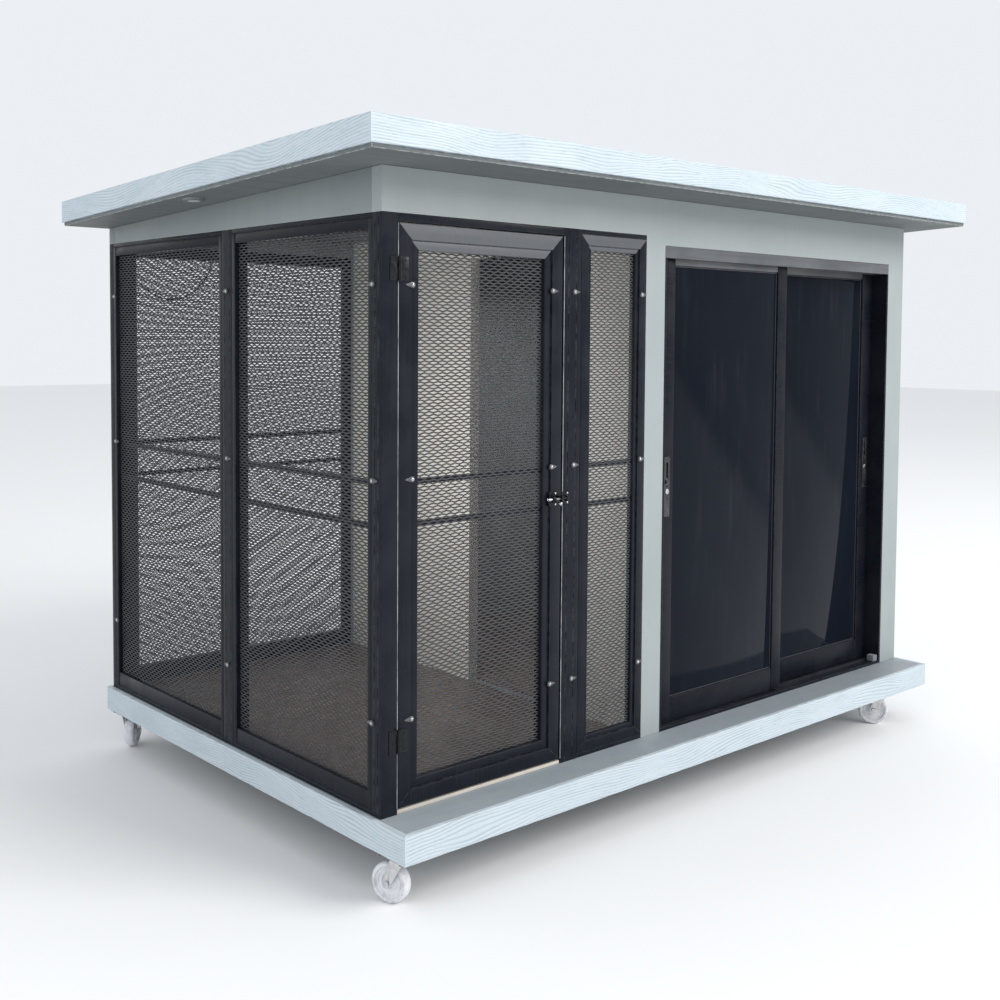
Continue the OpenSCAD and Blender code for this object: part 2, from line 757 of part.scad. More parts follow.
// A lug with a bore along X that carries the bolt
module bolt_lug(x, r) {
    difference() {
        translate([x, bolt_y - 7, latch_z - 8]) cube([lug_l, 7 - bolt_y - gap - 1.5, 16]);
        translate([x - 1, bolt_y, latch_z]) rotate([0, 90, 0]) cylinder(r = r, h = lug_l + 2);
    }
}

module bolt_guide() color("#141516") site() union() {
    block([lug_x[0] - 3, -gap - 2, latch_z - 19], [door_x1 - 1, -gap, latch_z + 19]);
    for (x = lug_x) bolt_lug(x, bolt_r + run);
}

module bolt_rod() color("#2a2b2d") site() union() {
    knob_x = lug_x[0] + lug_l + knob_r + 0.5;
    translate([lug_x[0] - bolt_throw + 2, bolt_y, latch_z]) rotate([0, 90, 0])
        cylinder(r = bolt_r, h = door_x1 + 1 - lug_x[0] + bolt_throw - 2);
    translate([knob_x, bolt_y, latch_z]) rotate([115, 0, 0]) cylinder(r = knob_r, h = 22);
    translate([knob_x, bolt_y, latch_z]) rotate([115, 0, 0]) translate([0, 0, 23]) sphere(r = 6);
}

module bolt_keeper() color("#141516") site() union() {
    x = door_post_x0 + 3;
    block([x - 2, -gap - 2, latch_z - 17], [x + lug_l + 10, -gap, latch_z + 17]);
    bolt_lug(x, bolt_r + 0.6);
}

// ---- Sliding door ----

module slider_frame() color("#202224") site() {
    // Head with one channel for each sash
    difference() {
        block([slider_x0, 0, slider_h - head_h], [slider_x1, slider_d, slider_h]);
        for (y = sash_y)
            block([slider_x0 - 1, y - 2, slider_h - head_h - 1], [slider_x1 + 1, y + sash_t + 2, channel_top]);
    }
    for (x = [slider_x0, slider_x1 - jamb_t])
        block([x, 0, slide_sill + gap], [x + jamb_t, slider_d, slider_h - head_h - gap]);
    union() {
        block([slider_x0, 0, 0], [slider_x1, slider_d, slide_sill]);
        for (y = sash_y)
            block([slider_x0 + jamb_t + gap, y + (sash_t - rib_w) / 2, slide_sill - 1],
                [slider_x1 - jamb_t - gap, y + (sash_t + rib_w) / 2, slide_sill + rib_h]);
    }
}

// Two stiles and two rails; the bottom rail is grooved over the track rib
module sash(x, y, lock_left) site() translate([x, y, sash_z0]) {
    left = lock_left ? lock_stile : meet_stile;
    right = lock_left ? meet_stile : lock_stile;
    groove_h = rib_h + glide_h + 2;
    difference() {
        union() {
            block([0, 0, 0], [left, sash_t, sash_h]);
            block([sash_l - right, 0, 0], [sash_l, sash_t, sash_h]);
        }
        block([-1, (sash_t - groove_w) / 2, -1], [sash_l + 1, (sash_t + groove_w) / 2, groove_h]);
    }
    difference() {
        block([left + gap, 2, 0], [sash_l - right - gap, sash_t - 2, sash_bottom]);
        block([0, (sash_t - groove_w) / 2, -1], [sash_l, (sash_t + groove_w) / 2, groove_h]);
    }
    block([left + gap, 2, sash_h - sash_top], [sash_l - right - gap, sash_t - 2, sash_h]);
}

module pane(x, y, lock_left) site() translate([x, y, sash_z0])
    infill(lock_left ? lock_stile : meet_stile, sash_l - (lock_left ? meet_stile : lock_stile),
        sash_bottom, sash_h - sash_top, 8, glass_t);

// Two blocks in the groove of the bottom rail that ride on the track rib
module glides(x, y) site() for (end = [glide_inset, sash_l - glide_inset - glide_l])
    block([x + end, y + (sash_t - groove_w) / 2 + gap, slide_sill + rib_h + gap],
        [x + end + glide_l, y + (sash_t + groove_w) / 2 - gap, slide_sill + rib_h + gap + glide_h]);

// Lock plate with a slot for the thumb slide and a round hole for the key barrel
module lock(x, y) site() translate([x, y - gap - lock_t, lock_z]) {
    barrel_z = -barrel_r - 6;
    barrel_proud = 2;
    difference() {
        translate([-lock_w / 2, 0, -lock_h / 2]) cube([lock_w, lock_t, lock_h]);
        translate([-lock_slot / 2, -1, 0]) cube([lock_slot, lock_t + 2, lock_h / 2 - 16]);
        translate([0, lock_t + 1, barrel_z]) rotate([90, 0, 0])
            cylinder(r = barrel_r, h = lock_t + 2);
    }
    translate([0, lock_t, barrel_z]) rotate([90, 0, 0])
        cylinder(r = barrel_r - gap, h = lock_t + barrel_proud);
}

// The slide in the slot, its finger pad in front of the plate and the neck between them
module thumb_slide(x, y) site() translate([x, y - gap, lock_z + 4]) {
    slide_h = 22;
    pad = 12;
    pad_t = 3.7;
    neck = 8;
    translate([gap - lock_slot / 2, -lock_t, 0]) cube([lock_slot - 2 * gap, lock_t - gap, slide_h]);
    translate([-pad / 2, -lock_t - 4, (slide_h - pad) / 2]) cube([pad, pad_t, pad]);
    translate([-3, -lock_t - 1, (slide_h - neck) / 2]) cube([6, 2, neck]);
}

left_lock_x = left_sash_x + lock_stile / 2;
right_lock_x = right_sash_x + sash_l - lock_stile / 2;

module left_sash() color("#202224") sash(left_sash_x, sash_y[0], true);

module left_glass() color("#15181a") pane(left_sash_x, sash_y[0], true);

module left_glides() color("white") glides(left_sash_x, sash_y[0]);

module left_lock() color("#28282a") lock(left_lock_x, sash_y[0]);

module left_thumb_slide() color("#404246") thumb_slide(left_lock_x, sash_y[0]);

module right_sash() color("#202224") sash(right_sash_x, sash_y[1], false);

module right_glass() color("#15181a") pane(right_sash_x, sash_y[1], false);

module right_glides() color("white") glides(right_sash_x, sash_y[1]);

module right_lock() color("#28282a") lock(right_lock_x, sash_y[1]);

module right_thumb_slide() color("#404246") thumb_slide(right_lock_x, sash_y[1]);

module sash_stop() color("gray") site() {
    x = slider_x1 - jamb_t - 8;
    block([x - stop_l, 1, slide_sill + gap], [x, sash_back + 8, slide_sill + stop_h]);
}

// ---- Cable ----

// Unit vector along the route at point i
function along(p, i) =
    let (a = p[max(i - 1, 0)], b = p[min(i + 1, len(p) - 1)], d = b - a) d / norm(d);

// The ring of points round the route at point i
function ring(p, i, r, n) =
    let (t = along(p, i), u0 = cross(t, [0, 1, 0]), u = u0 / norm(u0), v = cross(t, u))
    [for (k = [0:n - 1]) p[i] + r * (cos(360 * k / n) * u + sin(360 * k / n) * v)];

// A round tube swept along a list of points
module swept_tube(p, r, n) {
    m = len(p);
    points = [for (i = [0:m - 1]) each ring(p, i, r, n)];
    sides = [for (i = [0:m - 2], k = [0:n - 1])
        [i * n + k, i * n + (k + 1) % n, (i + 1) * n + (k + 1) % n, (i + 1) * n + k]];
    ends = [[for (k = [n - 1:-1:0]) k], [for (k = [0:n - 1]) (m - 1) * n + k]];
    polyhedron(points, concat(sides, ends));
}

module porch_cable() color("#101010") site() swept_tube(cable_points, cable_d / 2, 8);

base_rails();
deck_board();
floor_sheets();
deck_trims_long();
deck_trims_short();
caster_plates();
fork(0);  // fork_front_left
fork(1);  // fork_front_right
fork(2);  // fork_back_left
fork(3);  // fork_back_right
wheel(0);  // wheel_front_left
wheel(1);  // wheel_front_right
wheel(2);  // wheel_back_left
wheel(3);  // wheel_back_right
front_wall();
right_wall();
back_wall();
porch_headers();
partition_wall();
roof_panel();
soffit_board();
fascias_long();
fascias_short();
soffit_light();
porch_posts();
porch_tracks();
front_side_frame();
rear_side_frame();
narrow_frame();
back_frame();
front_side_mesh();
rear_side_mesh();
narrow_mesh();
back_mesh();
panel_bars();
panel_clips();
door_sill();
door_frame();
door_mesh();
door_bars();
door_clips();
door_hinge_leaves();
post_hinge_leaves();
hinge_pins();
bolt_guide();
bolt_rod();
bolt_keeper();
slider_frame();
left_sash();
left_glass();
left_glides();
left_lock();
left_thumb_slide();
right_sash();
right_glass();
right_glides();
right_lock();
right_thumb_slide();
sash_stop();
porch_cable();
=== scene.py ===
"""Looks of the wheeled pet house: a framed mesh porch beside a closed room behind a sliding glass door.

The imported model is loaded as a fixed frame, and every piece here is built from the boxes of its nodes.
Metres, +X along the long front side, the front faces -Y, +Z is up, the origin is on the ground.
"""

import json
import logging
import math
from collections.abc import Callable, Sequence
from dataclasses import dataclass
from enum import Enum

import bmesh
import bpy
import numpy as np
from mathutils import Matrix, Vector

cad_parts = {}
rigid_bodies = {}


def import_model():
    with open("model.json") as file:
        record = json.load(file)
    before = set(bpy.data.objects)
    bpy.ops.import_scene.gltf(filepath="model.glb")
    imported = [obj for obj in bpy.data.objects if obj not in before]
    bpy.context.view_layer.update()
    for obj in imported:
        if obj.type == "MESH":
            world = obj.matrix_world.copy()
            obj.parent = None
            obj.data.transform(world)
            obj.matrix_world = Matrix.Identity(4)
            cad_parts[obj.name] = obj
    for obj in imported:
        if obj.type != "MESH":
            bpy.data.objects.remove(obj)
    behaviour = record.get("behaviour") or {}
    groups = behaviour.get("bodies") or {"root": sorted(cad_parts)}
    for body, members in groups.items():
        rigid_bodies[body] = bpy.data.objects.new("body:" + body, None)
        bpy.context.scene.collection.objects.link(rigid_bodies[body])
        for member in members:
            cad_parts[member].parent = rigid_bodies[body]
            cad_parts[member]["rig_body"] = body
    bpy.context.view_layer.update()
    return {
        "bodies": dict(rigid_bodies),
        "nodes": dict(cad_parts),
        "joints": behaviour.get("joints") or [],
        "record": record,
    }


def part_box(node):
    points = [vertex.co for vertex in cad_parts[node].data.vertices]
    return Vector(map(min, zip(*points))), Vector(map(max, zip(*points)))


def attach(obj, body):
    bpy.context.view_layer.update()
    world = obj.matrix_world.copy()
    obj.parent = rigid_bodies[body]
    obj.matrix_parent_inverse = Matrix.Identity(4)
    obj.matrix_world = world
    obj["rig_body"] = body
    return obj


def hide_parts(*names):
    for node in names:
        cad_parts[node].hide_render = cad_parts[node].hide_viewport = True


log = logging.getLogger("pet_house")

MM = 0.001
HAIRLINE = 0.3 * MM
DRAWN_OUT = 0.03
LATTICE = 257
Colour = tuple[float, float, float]
Box = tuple[Vector, Vector]


class Slot(Enum):
    """The record's material slots."""

    DECK_STEEL = "deck_steel"
    DECK_PAINT = "deck_paint"
    FLOOR_WOOD = "floor_wood"
    TRIM_BOARD = "trim_board"
    CASTER_STEEL = "caster_steel"
    WHEEL_NYLON = "wheel_nylon"
    WALL_PAINT = "wall_paint"
    PARTITION_PAINT = "partition_paint"
    ROOF_SHEET = "roof_sheet"
    SOFFIT_PAINT = "soffit_paint"
    LIGHT_LENS = "light_lens"
    BLACK_PROFILE = "black_profile"
    BLACK_MESH = "black_mesh"
    CLIP_PLASTIC = "clip_plastic"
    BLACK_HARDWARE = "black_hardware"
    DARK_GLASS = "dark_glass"
    GLIDE_NYLON = "glide_nylon"
    LOCK_METAL = "lock_metal"
    STOP_RUBBER = "stop_rubber"
    CABLE_RUBBER = "cable_rubber"


class Axis(Enum):
    """The way a grain, a scratch or a brush mark runs."""

    X = (1.0, 0.0, 0.0)
    Y = (0.0, 1.0, 0.0)
    Z = (0.0, 0.0, 1.0)


# ---- Shader graphs ----


@dataclass
class Graph:
    """A node tree with short calls for adding and joining nodes.

    Args:
        tree: the node tree that is filled.
    """

    tree: bpy.types.NodeTree

    def add(self, kind: str, **settings: object) -> bpy.types.Node:
        """Adds a node.

        Args:
            kind: the node's type name.
            settings: attributes, or with an in_ prefix the default values of its inputs.

        Returns:
            The node.
        """
        node = self.tree.nodes.new(kind)
        for key, value in settings.items():
            if not key.startswith("in_"):
                setattr(node, key, value)
        for key, value in settings.items():
            if key.startswith("in_"):
                name = key[3:]
                socket = node.inputs[int(name)] if name.isdigit() else node.inputs[name]
                socket.default_value = value
        return node

    def join(self, source: bpy.types.NodeSocket, target: bpy.types.NodeSocket) -> None:
        """Links an output to an input."""
        self.tree.links.new(source, target)

    def math(self, operation: str, a: object, b: object = 0.0, clamp: bool = False) -> bpy.types.NodeSocket:
        """Adds a Math node.

        Args:
            operation: the node's operation.
            a: a socket or a number.
            b: a socket or a number.
            clamp: whether the result stays from 0 to 1.

        Returns:
            The result's socket.
        """
        node = self.add("ShaderNodeMath", operation=operation, use_clamp=clamp)
        for i, value in enumerate((a, b)):
            if isinstance(value, (int, float)):
                node.inputs[i].default_value = value
            else:
                self.join(value, node.inputs[i])
        return node.outputs[0]

    def ramp(
        self, value: bpy.types.NodeSocket, low: object, high: object, start: float = 0.0, end: float = 1.0
    ) -> bpy.types.NodeSocket:
        """Maps a value smoothly from one range to another.

        Args:
            value: the value's socket.
            low: the first range's start, a socket or a number.
            high: the first range's end, a socket or a number.
            start: the second range's start.
            end: the second range's end.

        Returns:
            The result's socket.
        """
        node = self.add("ShaderNodeMapRange", interpolation_type="SMOOTHSTEP")
        for name, limit in (("From Min", low), ("From Max", high)):
            if isinstance(limit, bpy.types.NodeSocket):
                self.join(limit, node.inputs[name])
            else:
                node.inputs[name].default_value = limit
        node.inputs["To Min"].default_value = start
        node.inputs["To Max"].default_value = end
        self.join(value, node.inputs["Value"])
        return node.outputs["Result"]

    def noise(self, **settings: float) -> bpy.types.Node:
        """Adds noise that lies on the piece.

        Args:
            settings: the default values of its inputs, with an in_ prefix.

        Returns:
            The noise node.
        """
        place = self.add("ShaderNodeTexCoord")
        node = self.add("ShaderNodeTexNoise", **settings)
        self.join(place.outputs["Object"], node.inputs["Vector"])
        return node

    def relief(
        self, shader: bpy.types.Node, height: bpy.types.NodeSocket, strength: float, depth: float
    ) -> None:
        """Raises a surface.

        Args:
            shader: the surface's shader.
            height: the height's socket.
            strength: how strongly it shows, from 0 to 1.
            depth: the relief's depth in metres.
        """
        bump = self.add("ShaderNodeBump", in_Strength=strength, in_Distance=depth)
        self.join(height, bump.inputs["Height"])
        self.join(bump.outputs[0], shader.inputs["Normal"])

    def mix(self, factor: object, a: object, b: object) -> bpy.types.NodeSocket:
        """Mixes two colours.

        Args:
            factor: the second one's share, a socket or a number.
            a: the first colour, a socket or RGB.
            b: the second colour, a socket or RGB.

        Returns:
            The result's socket.
        """
        node = self.add("ShaderNodeMix", data_type="RGBA")
        for socket, value in ((node.inputs[0], factor), (node.inputs[6], a), (node.inputs[7], b)):
            if isinstance(value, bpy.types.NodeSocket):
                self.join(value, socket)
            elif isinstance(value, tuple):
                socket.default_value = (*value, 1.0)
            else:
                socket.default_value = value
        return node.outputs[2]


def new_group(name: str, output: str, inputs: dict[str, float]) -> tuple[Graph, dict, bpy.types.NodeSocket]:
    """Starts a shader node group of numbers.

    Args:
        name: the group's name.
        output: the name of its output.
        inputs: the name and default of each input.

    Returns:
        The graph, the input sockets by name and the output's socket.
    """
    tree = bpy.data.node_groups.new(name, "ShaderNodeTree")
    for key, value in inputs.items():
        tree.interface.new_socket(key, in_out="INPUT", socket_type="NodeSocketFloat").default_value = value
    tree.interface.new_socket(output, in_out="OUTPUT", socket_type="NodeSocketFloat")
    graph = Graph(tree)
    start, end = graph.add("NodeGroupInput"), graph.add("NodeGroupOutput")
    return graph, {key: start.outputs[key] for key in inputs}, end.inputs[output]


class Effects:
    """The shared shader node groups, each built once."""

    def __init__(self) -> None:
        """Builds the groups."""
        self.mottle = self._mottle()
        self.edge_wear = self._edge_wear_and_sheen()
        self.dust = self._dust()
        self.streaks = self._streaks()

    @staticmethod
    def _mottle() -> bpy.types.NodeTree:
        """Builds soft clouds of slightly different paint.

        Returns:
            The group.
        """
        graph, given, out = new_group(
            "mottle", "Value", {"Scale": 4.0, "Detail": 4.0, "Low": 0.35, "High": 0.65}
        )
        noise = graph.noise()
        graph.join(given["Scale"], noise.inputs["Scale"])
        graph.join(given["Detail"], noise.inputs["Detail"])
        graph.join(graph.ramp(noise.outputs[0], given["Low"], given["High"]), out)
        return graph.tree

    @staticmethod
    def _edge_wear_and_sheen() -> bpy.types.NodeTree:
        """Builds a mask of rounded edges broken up by noise, used for rubbed paint and for painted highlights
        where edges catch the light.

        Returns:
            The group.
        """
        graph, given, out = new_group("edge_wear", "Mask", {"Width": 0.002, "Breakup": 60.0, "Amount": 1.0})
        rounded = graph.add("ShaderNodeBevel", samples=4)
        graph.join(given["Width"], rounded.inputs["Radius"])
        plain = graph.add("ShaderNodeNewGeometry")
        dot = graph.add("ShaderNodeVectorMath", operation="DOT_PRODUCT")
        graph.join(rounded.outputs[0], dot.inputs[0])
        graph.join(plain.outputs["Normal"], dot.inputs[1])
        edge = graph.ramp(dot.outputs["Value"], 0.995, 0.86)
        noise = graph.noise(in_Detail=3.0)
        graph.join(given["Breakup"], noise.inputs["Scale"])
        broken = graph.ramp(noise.outputs[0], 0.38, 0.62)
        graph.join(graph.math("MULTIPLY", graph.math("MULTIPLY", edge, broken), given["Amount"], True), out)
        return graph.tree

    @staticmethod
    def _dust() -> bpy.types.NodeTree:
        """Builds dust on faces that look up, thicker where noise gathers it.

        Returns:
            The group.
        """
        graph, given, out = new_group("dust", "Mask", {"Scale": 14.0, "Amount": 0.5})
        shape = graph.add("ShaderNodeNewGeometry")
        split = graph.add("ShaderNodeSeparateXYZ")
        graph.join(shape.outputs["Normal"], split.inputs[0])
        upward = graph.ramp(split.outputs[2], 0.2, 0.95)
        noise = graph.noise(in_Detail=6.0, in_Roughness=0.65)
        graph.join(given["Scale"], noise.inputs["Scale"])
        cloud = graph.ramp(noise.outputs[0], 0.3, 0.75)
        graph.join(graph.math("MULTIPLY", graph.math("MULTIPLY", upward, cloud), given["Amount"], True), out)
        return graph.tree

    @staticmethod
    def _streaks() -> bpy.types.NodeTree:
        """Builds fine marks drawn out along one axis, as brush marks, rain runs or wood fibre.

        Returns:
            The group.
        """
        graph, given, out = new_group(
            "streaks", "Value", {"Along X": 1.0, "Along Y": 1.0, "Along Z": 1.0, "Low": 0.4, "High": 0.7}
        )
        place = graph.add("ShaderNodeTexCoord")
        split = graph.add("ShaderNodeSeparateXYZ")
        graph.join(place.outputs["Object"], split.inputs[0])
        drawn_out = graph.add("ShaderNodeCombineXYZ")
        for i, key in enumerate(("Along X", "Along Y", "Along Z")):
            graph.join(graph.math("MULTIPLY", split.outputs[i], given[key]), drawn_out.inputs[i])
        noise = graph.add("ShaderNodeTexNoise", in_Detail=5.0, in_Scale=1.0, in_Roughness=0.6)
        graph.join(drawn_out.outputs[0], noise.inputs["Vector"])
        graph.join(graph.ramp(noise.outputs[0], given["Low"], given["High"]), out)
        return graph.tree


def new_material(name: str) -> tuple[Graph, bpy.types.Node]:
    """Starts a material.

    Args:
        name: the material's name.

    Returns:
        Its graph and its Principled shader.
    """
    material = bpy.data.materials.new(name)
    material.use_nodes = True
    return Graph(material.node_tree), material.node_tree.nodes["Principled BSDF"]


def place_group(graph: Graph, group: bpy.types.NodeTree, **values: float) -> bpy.types.NodeSocket:
    """Places a shared group.

    Args:
        graph: the material's graph.
        group: the shared group.
        values: its inputs by name.

    Returns:
        The group's first output socket.
    """
    node = graph.add("ShaderNodeGroup", node_tree=group)
    for key, value in values.items():
        node.inputs[key].default_value = value
    return node.outputs[0]


def place_streaks(
    graph: Graph, effects: Effects, scales: Sequence[float], low: float, high: float
) -> bpy.types.NodeSocket:
    """Places the shared group of streaks.

    Args:
        graph: the material's graph.
        effects: the shared node groups.
        scales: marks per metre along X, Y and Z.
        low: the noise below which there is no mark.
        high: the noise above which a mark is full.

    Returns:
        The group's output socket.
    """
    along = dict(zip(("Along X", "Along Y", "Along Z"), scales))
    return place_group(graph, effects.streaks, **along, Low=low, High=high)


@dataclass(frozen=True)
class Finish:
    """A painted, coated or moulded finish.

    Args:
        name: the material's name.
        base: the main colour.
        shade: the colour of its darker clouds and streaks.
        roughness: the mean roughness.
        spread: how far the roughness varies.
        metallic: 1 for bare metal.
        cloud_scale: clouds per metre.
        cloud: strength of the clouds in the colour.
        streak_axis: the way that fine marks run, or none.
        streak_scale: marks per metre across that way.
        streak: strength of the fine marks in the colour.
        wear_and_sheen_colour: colour of the rounded edges, mostly a painted highlight where they catch the
            light, on some finishes rubbed paint.
        wear_and_sheen: strength of those edges.
        wear_and_sheen_width: width of those edges in metres.
        dust: amount of dust on faces that look up.
        dust_colour: colour of the dust.
        bump_scale: grains per metre of the fine surface texture.
        bump: height of that texture in metres.
        gloss: strength of its reflections, 0.5 for plain paint.
        top_sheen: the colour where the piece's top_sheen attribute is 1, a painted reflection of the light
            from above on top bars, or none.
    """

    name: str
    base: Colour
    shade: Colour
    roughness: float = 0.5
    spread: float = 0.1
    metallic: float = 0.0
    cloud_scale: float = 3.0
    cloud: float = 0.5
    streak_axis: Axis | None = None
    streak_scale: float = 260.0
    streak: float = 0.3
    wear_and_sheen_colour: Colour = (0.6, 0.6, 0.6)
    wear_and_sheen: float = 0.0
    wear_and_sheen_width: float = 0.0015
    dust: float = 0.0
    dust_colour: Colour = (0.42, 0.40, 0.36)
    bump_scale: float = 420.0
    bump: float = 0.00006
    gloss: float = 0.5
    top_sheen: Colour | None = None

    def build(self, effects: Effects) -> bpy.types.Material:
        """Builds the material.

        Args:
            effects: the shared node groups.

        Returns:
            The material.
        """
        graph, shader = new_material(self.name)
        shader.inputs["Metallic"].default_value = self.metallic
        shader.inputs["Specular IOR Level"].default_value = self.gloss
        colour, rough = self._colour(graph, effects)
        graph.join(colour, shader.inputs["Base Color"])
        graph.join(rough, shader.inputs["Roughness"])
        grains = graph.noise(in_Scale=self.bump_scale, in_Detail=4.0)
        graph.relief(shader, grains.outputs[0], 0.6, self.bump)
        return bpy.data.materials[self.name]

    def _colour(self, graph: Graph, effects: Effects) -> tuple[bpy.types.NodeSocket, bpy.types.NodeSocket]:
        """Builds the colour and the roughness.

        Args:
            graph: the material's graph.
            effects: the shared node groups.

        Returns:
            The sockets of the colour and of the roughness.
        """
        cloud = place_group(graph, effects.mottle, Scale=self.cloud_scale, Detail=5.0, Low=0.32, High=0.7)
        colour = graph.mix(graph.math("MULTIPLY", cloud, self.cloud), self.base, self.shade)
        rough = graph.ramp(cloud, 0.0, 1.0, self.roughness - self.spread, self.roughness + self.spread)
        if self.streak_axis:
            scales = [self.streak_scale * (DRAWN_OUT if part else 1.0) for part in self.streak_axis.value]
            marks = place_streaks(graph, effects, scales, 0.42, 0.72)
            colour = graph.mix(graph.math("MULTIPLY", marks, self.streak), colour, self.shade)
            rough = graph.math("ADD", rough, graph.math("MULTIPLY", marks, self.spread), True)
        # Top bars take a lighter grey: a painted reflection of the light from above.
        if self.top_sheen:
            top_sheen_mask = graph.add("ShaderNodeAttribute", attribute_name="top_sheen")
            colour = graph.mix(top_sheen_mask.outputs["Fac"], colour, self.top_sheen)
        # Rounded edges get another colour: mostly a painted highlight where edges catch the light, on some
        # finishes rubbed paint.
        if self.wear_and_sheen:
            edge = place_group(
                graph, effects.edge_wear, Width=self.wear_and_sheen_width, Breakup=45.0, Amount=self.wear_and_sheen
            )
            colour = graph.mix(edge, colour, self.wear_and_sheen_colour)
        if self.dust:
            dusty = place_group(graph, effects.dust, Scale=16.0, Amount=self.dust)
            colour = graph.mix(dusty, colour, self.dust_colour)
            rough = graph.math("ADD", rough, graph.math("MULTIPLY", dusty, 0.3), True)
        return colour, rough


@dataclass(frozen=True)
class BoardFinish:
    """Pale paint over an embossed wood grain, darker in the grooves.

    Args:
        name: the material's name.
        face: colour of the ridges.
        groove: colour in the grooves.
    """

    name: str = "embossed_board"
    face: Colour = (0.54, 0.61, 0.655)
    groove: Colour = (0.27, 0.33, 0.37)

    def build(self, effects: Effects) -> bpy.types.Material:
        """Builds the material.

        Args:
            effects: the shared node groups.

        Returns:
            The material.
        """
        graph, shader = new_material(self.name)
        depth = graph.add("ShaderNodeAttribute", attribute_name="groove")
        cloud = place_group(graph, effects.mottle, Scale=5.0, Detail=6.0, Low=0.3, High=0.7)
        paint = graph.mix(graph.math("MULTIPLY", cloud, 0.4), self.face, (0.45, 0.53, 0.58))
        colour = graph.mix(graph.math("MULTIPLY", depth.outputs["Fac"], 0.75), paint, self.groove)
        # The rounded edges get a near-white painted highlight.
        edge = place_group(graph, effects.edge_wear, Width=0.0018, Breakup=30.0, Amount=0.7)
        colour = graph.mix(edge, colour, (0.80, 0.86, 0.88))
        dusty = place_group(graph, effects.dust, Scale=20.0, Amount=0.3)
        graph.join(graph.mix(dusty, colour, (0.45, 0.45, 0.43)), shader.inputs["Base Color"])
        graph.join(graph.ramp(cloud, 0.0, 1.0, 0.42, 0.58), shader.inputs["Roughness"])
        graph.relief(shader, graph.noise(in_Scale=330.0, in_Detail=4.0).outputs[0], 0.5, 0.1 * MM)
        return bpy.data.materials[self.name]


@dataclass(frozen=True)
class PlankFinish:
    """Brown planks with joints, fibre and worn varnish.

    Args:
        name: the material's name.
        plank: width of a plank in metres.
    """

    name: str = "floor_planks"
    plank: float = 0.12

    def build(self, effects: Effects) -> bpy.types.Material:
        """Builds the material.

        Args:
            effects: the shared node groups.

        Returns:
            The material.
        """
        graph, shader = new_material(self.name)
        place = graph.add("ShaderNodeTexCoord")
        bricks = graph.add(
            "ShaderNodeTexBrick", offset=0.37, in_Scale=1.0, in_Color1=(0.20, 0.140, 0.104, 1.0),
            in_Color2=(0.145, 0.100, 0.075, 1.0), in_Mortar=(0.04, 0.03, 0.024, 1.0),
        )
        bricks.inputs["Mortar Size"].default_value = 0.0012
        bricks.inputs["Brick Width"].default_value = 1.15
        bricks.inputs["Row Height"].default_value = self.plank
        graph.join(place.outputs["Object"], bricks.inputs["Vector"])
        fibre = place_streaks(graph, effects, (7.0, 170.0, 170.0), 0.35, 0.7)
        colour = graph.mix(graph.math("MULTIPLY", fibre, 0.5), bricks.outputs["Color"], (0.085, 0.060, 0.045))
        dusty = place_group(graph, effects.dust, Scale=9.0, Amount=0.3)
        graph.join(graph.mix(dusty, colour, (0.32, 0.29, 0.265)), shader.inputs["Base Color"])
        graph.join(graph.ramp(fibre, 0.0, 1.0, 0.38, 0.55), shader.inputs["Roughness"])
        height = graph.math("SUBTRACT", graph.math("MULTIPLY", fibre, 0.3), bricks.outputs["Fac"])
        graph.relief(shader, height, 0.5, 0.4 * MM)
        return bpy.data.materials[self.name]


@dataclass(frozen=True)
class GlassFinish:
    """Dark tinted glass with a mirror film, slightly wavy and dusty.

    Args:
        name: the material's name.
        tint: the colour of the glass.
    """

    name: str = "tinted_glass"
    tint: Colour = (0.006, 0.008, 0.014)

    def build(self, effects: Effects) -> bpy.types.Material:
        """Builds the material.

        Args:
            effects: the shared node groups.

        Returns:
            The material.
        """
        graph, shader = new_material(self.name)
        shader.inputs["IOR"].default_value = 1.45
        shader.inputs["Specular IOR Level"].default_value = 0.05
        shader.inputs["Transmission Weight"].default_value = 0.03
        cloud = place_group(graph, effects.mottle, Scale=2.2, Detail=6.0, Low=0.35, High=0.75)
        smears = place_streaks(graph, effects, (30.0, 30.0, 3.0), 0.5, 0.85)
        colour = graph.mix(graph.math("MULTIPLY", cloud, 0.5), self.tint, (0.010, 0.014, 0.020))
        colour = graph.mix(graph.math("MULTIPLY", smears, 0.03), colour, (0.3, 0.3, 0.3))
        graph.join(colour, shader.inputs["Base Color"])
        graph.join(graph.ramp(smears, 0.0, 1.0, 0.03, 0.10), shader.inputs["Roughness"])
        graph.relief(shader, graph.noise(in_Scale=3.0, in_Detail=1.0).outputs[0], 0.12, 2 * MM)
        return bpy.data.materials[self.name]


@dataclass(frozen=True)
class NylonFinish:
    """Milky moulded nylon that lets a little light in, with grey scuffs.

    Args:
        name: the material's name.
    """

    name: str = "milky_nylon"

    def build(self, effects: Effects) -> bpy.types.Material:
        """Builds the material.

        Args:
            effects: the shared node groups.

        Returns:
            The material.
        """
        graph, shader = new_material(self.name)
        shader.inputs["Subsurface Weight"].default_value = 0.25
        shader.inputs["Subsurface Radius"].default_value = (0.01, 0.01, 0.01)
        cloud = place_group(graph, effects.mottle, Scale=45.0, Detail=6.0, Low=0.45, High=0.75)
        colour = graph.mix(graph.math("MULTIPLY", cloud, 0.5), (0.72, 0.73, 0.755), (0.40, 0.39, 0.395))
        edge = place_group(graph, effects.edge_wear, Width=0.002, Breakup=90.0, Amount=0.5)
        graph.join(graph.mix(edge, colour, (0.42, 0.41, 0.42)), shader.inputs["Base Color"])
        graph.join(graph.ramp(cloud, 0.0, 1.0, 0.28, 0.5), shader.inputs["Roughness"])
        graph.relief(shader, graph.noise(in_Scale=500.0, in_Detail=3.0).outputs[0], 0.4, 0.1 * MM)
        return bpy.data.materials[self.name]
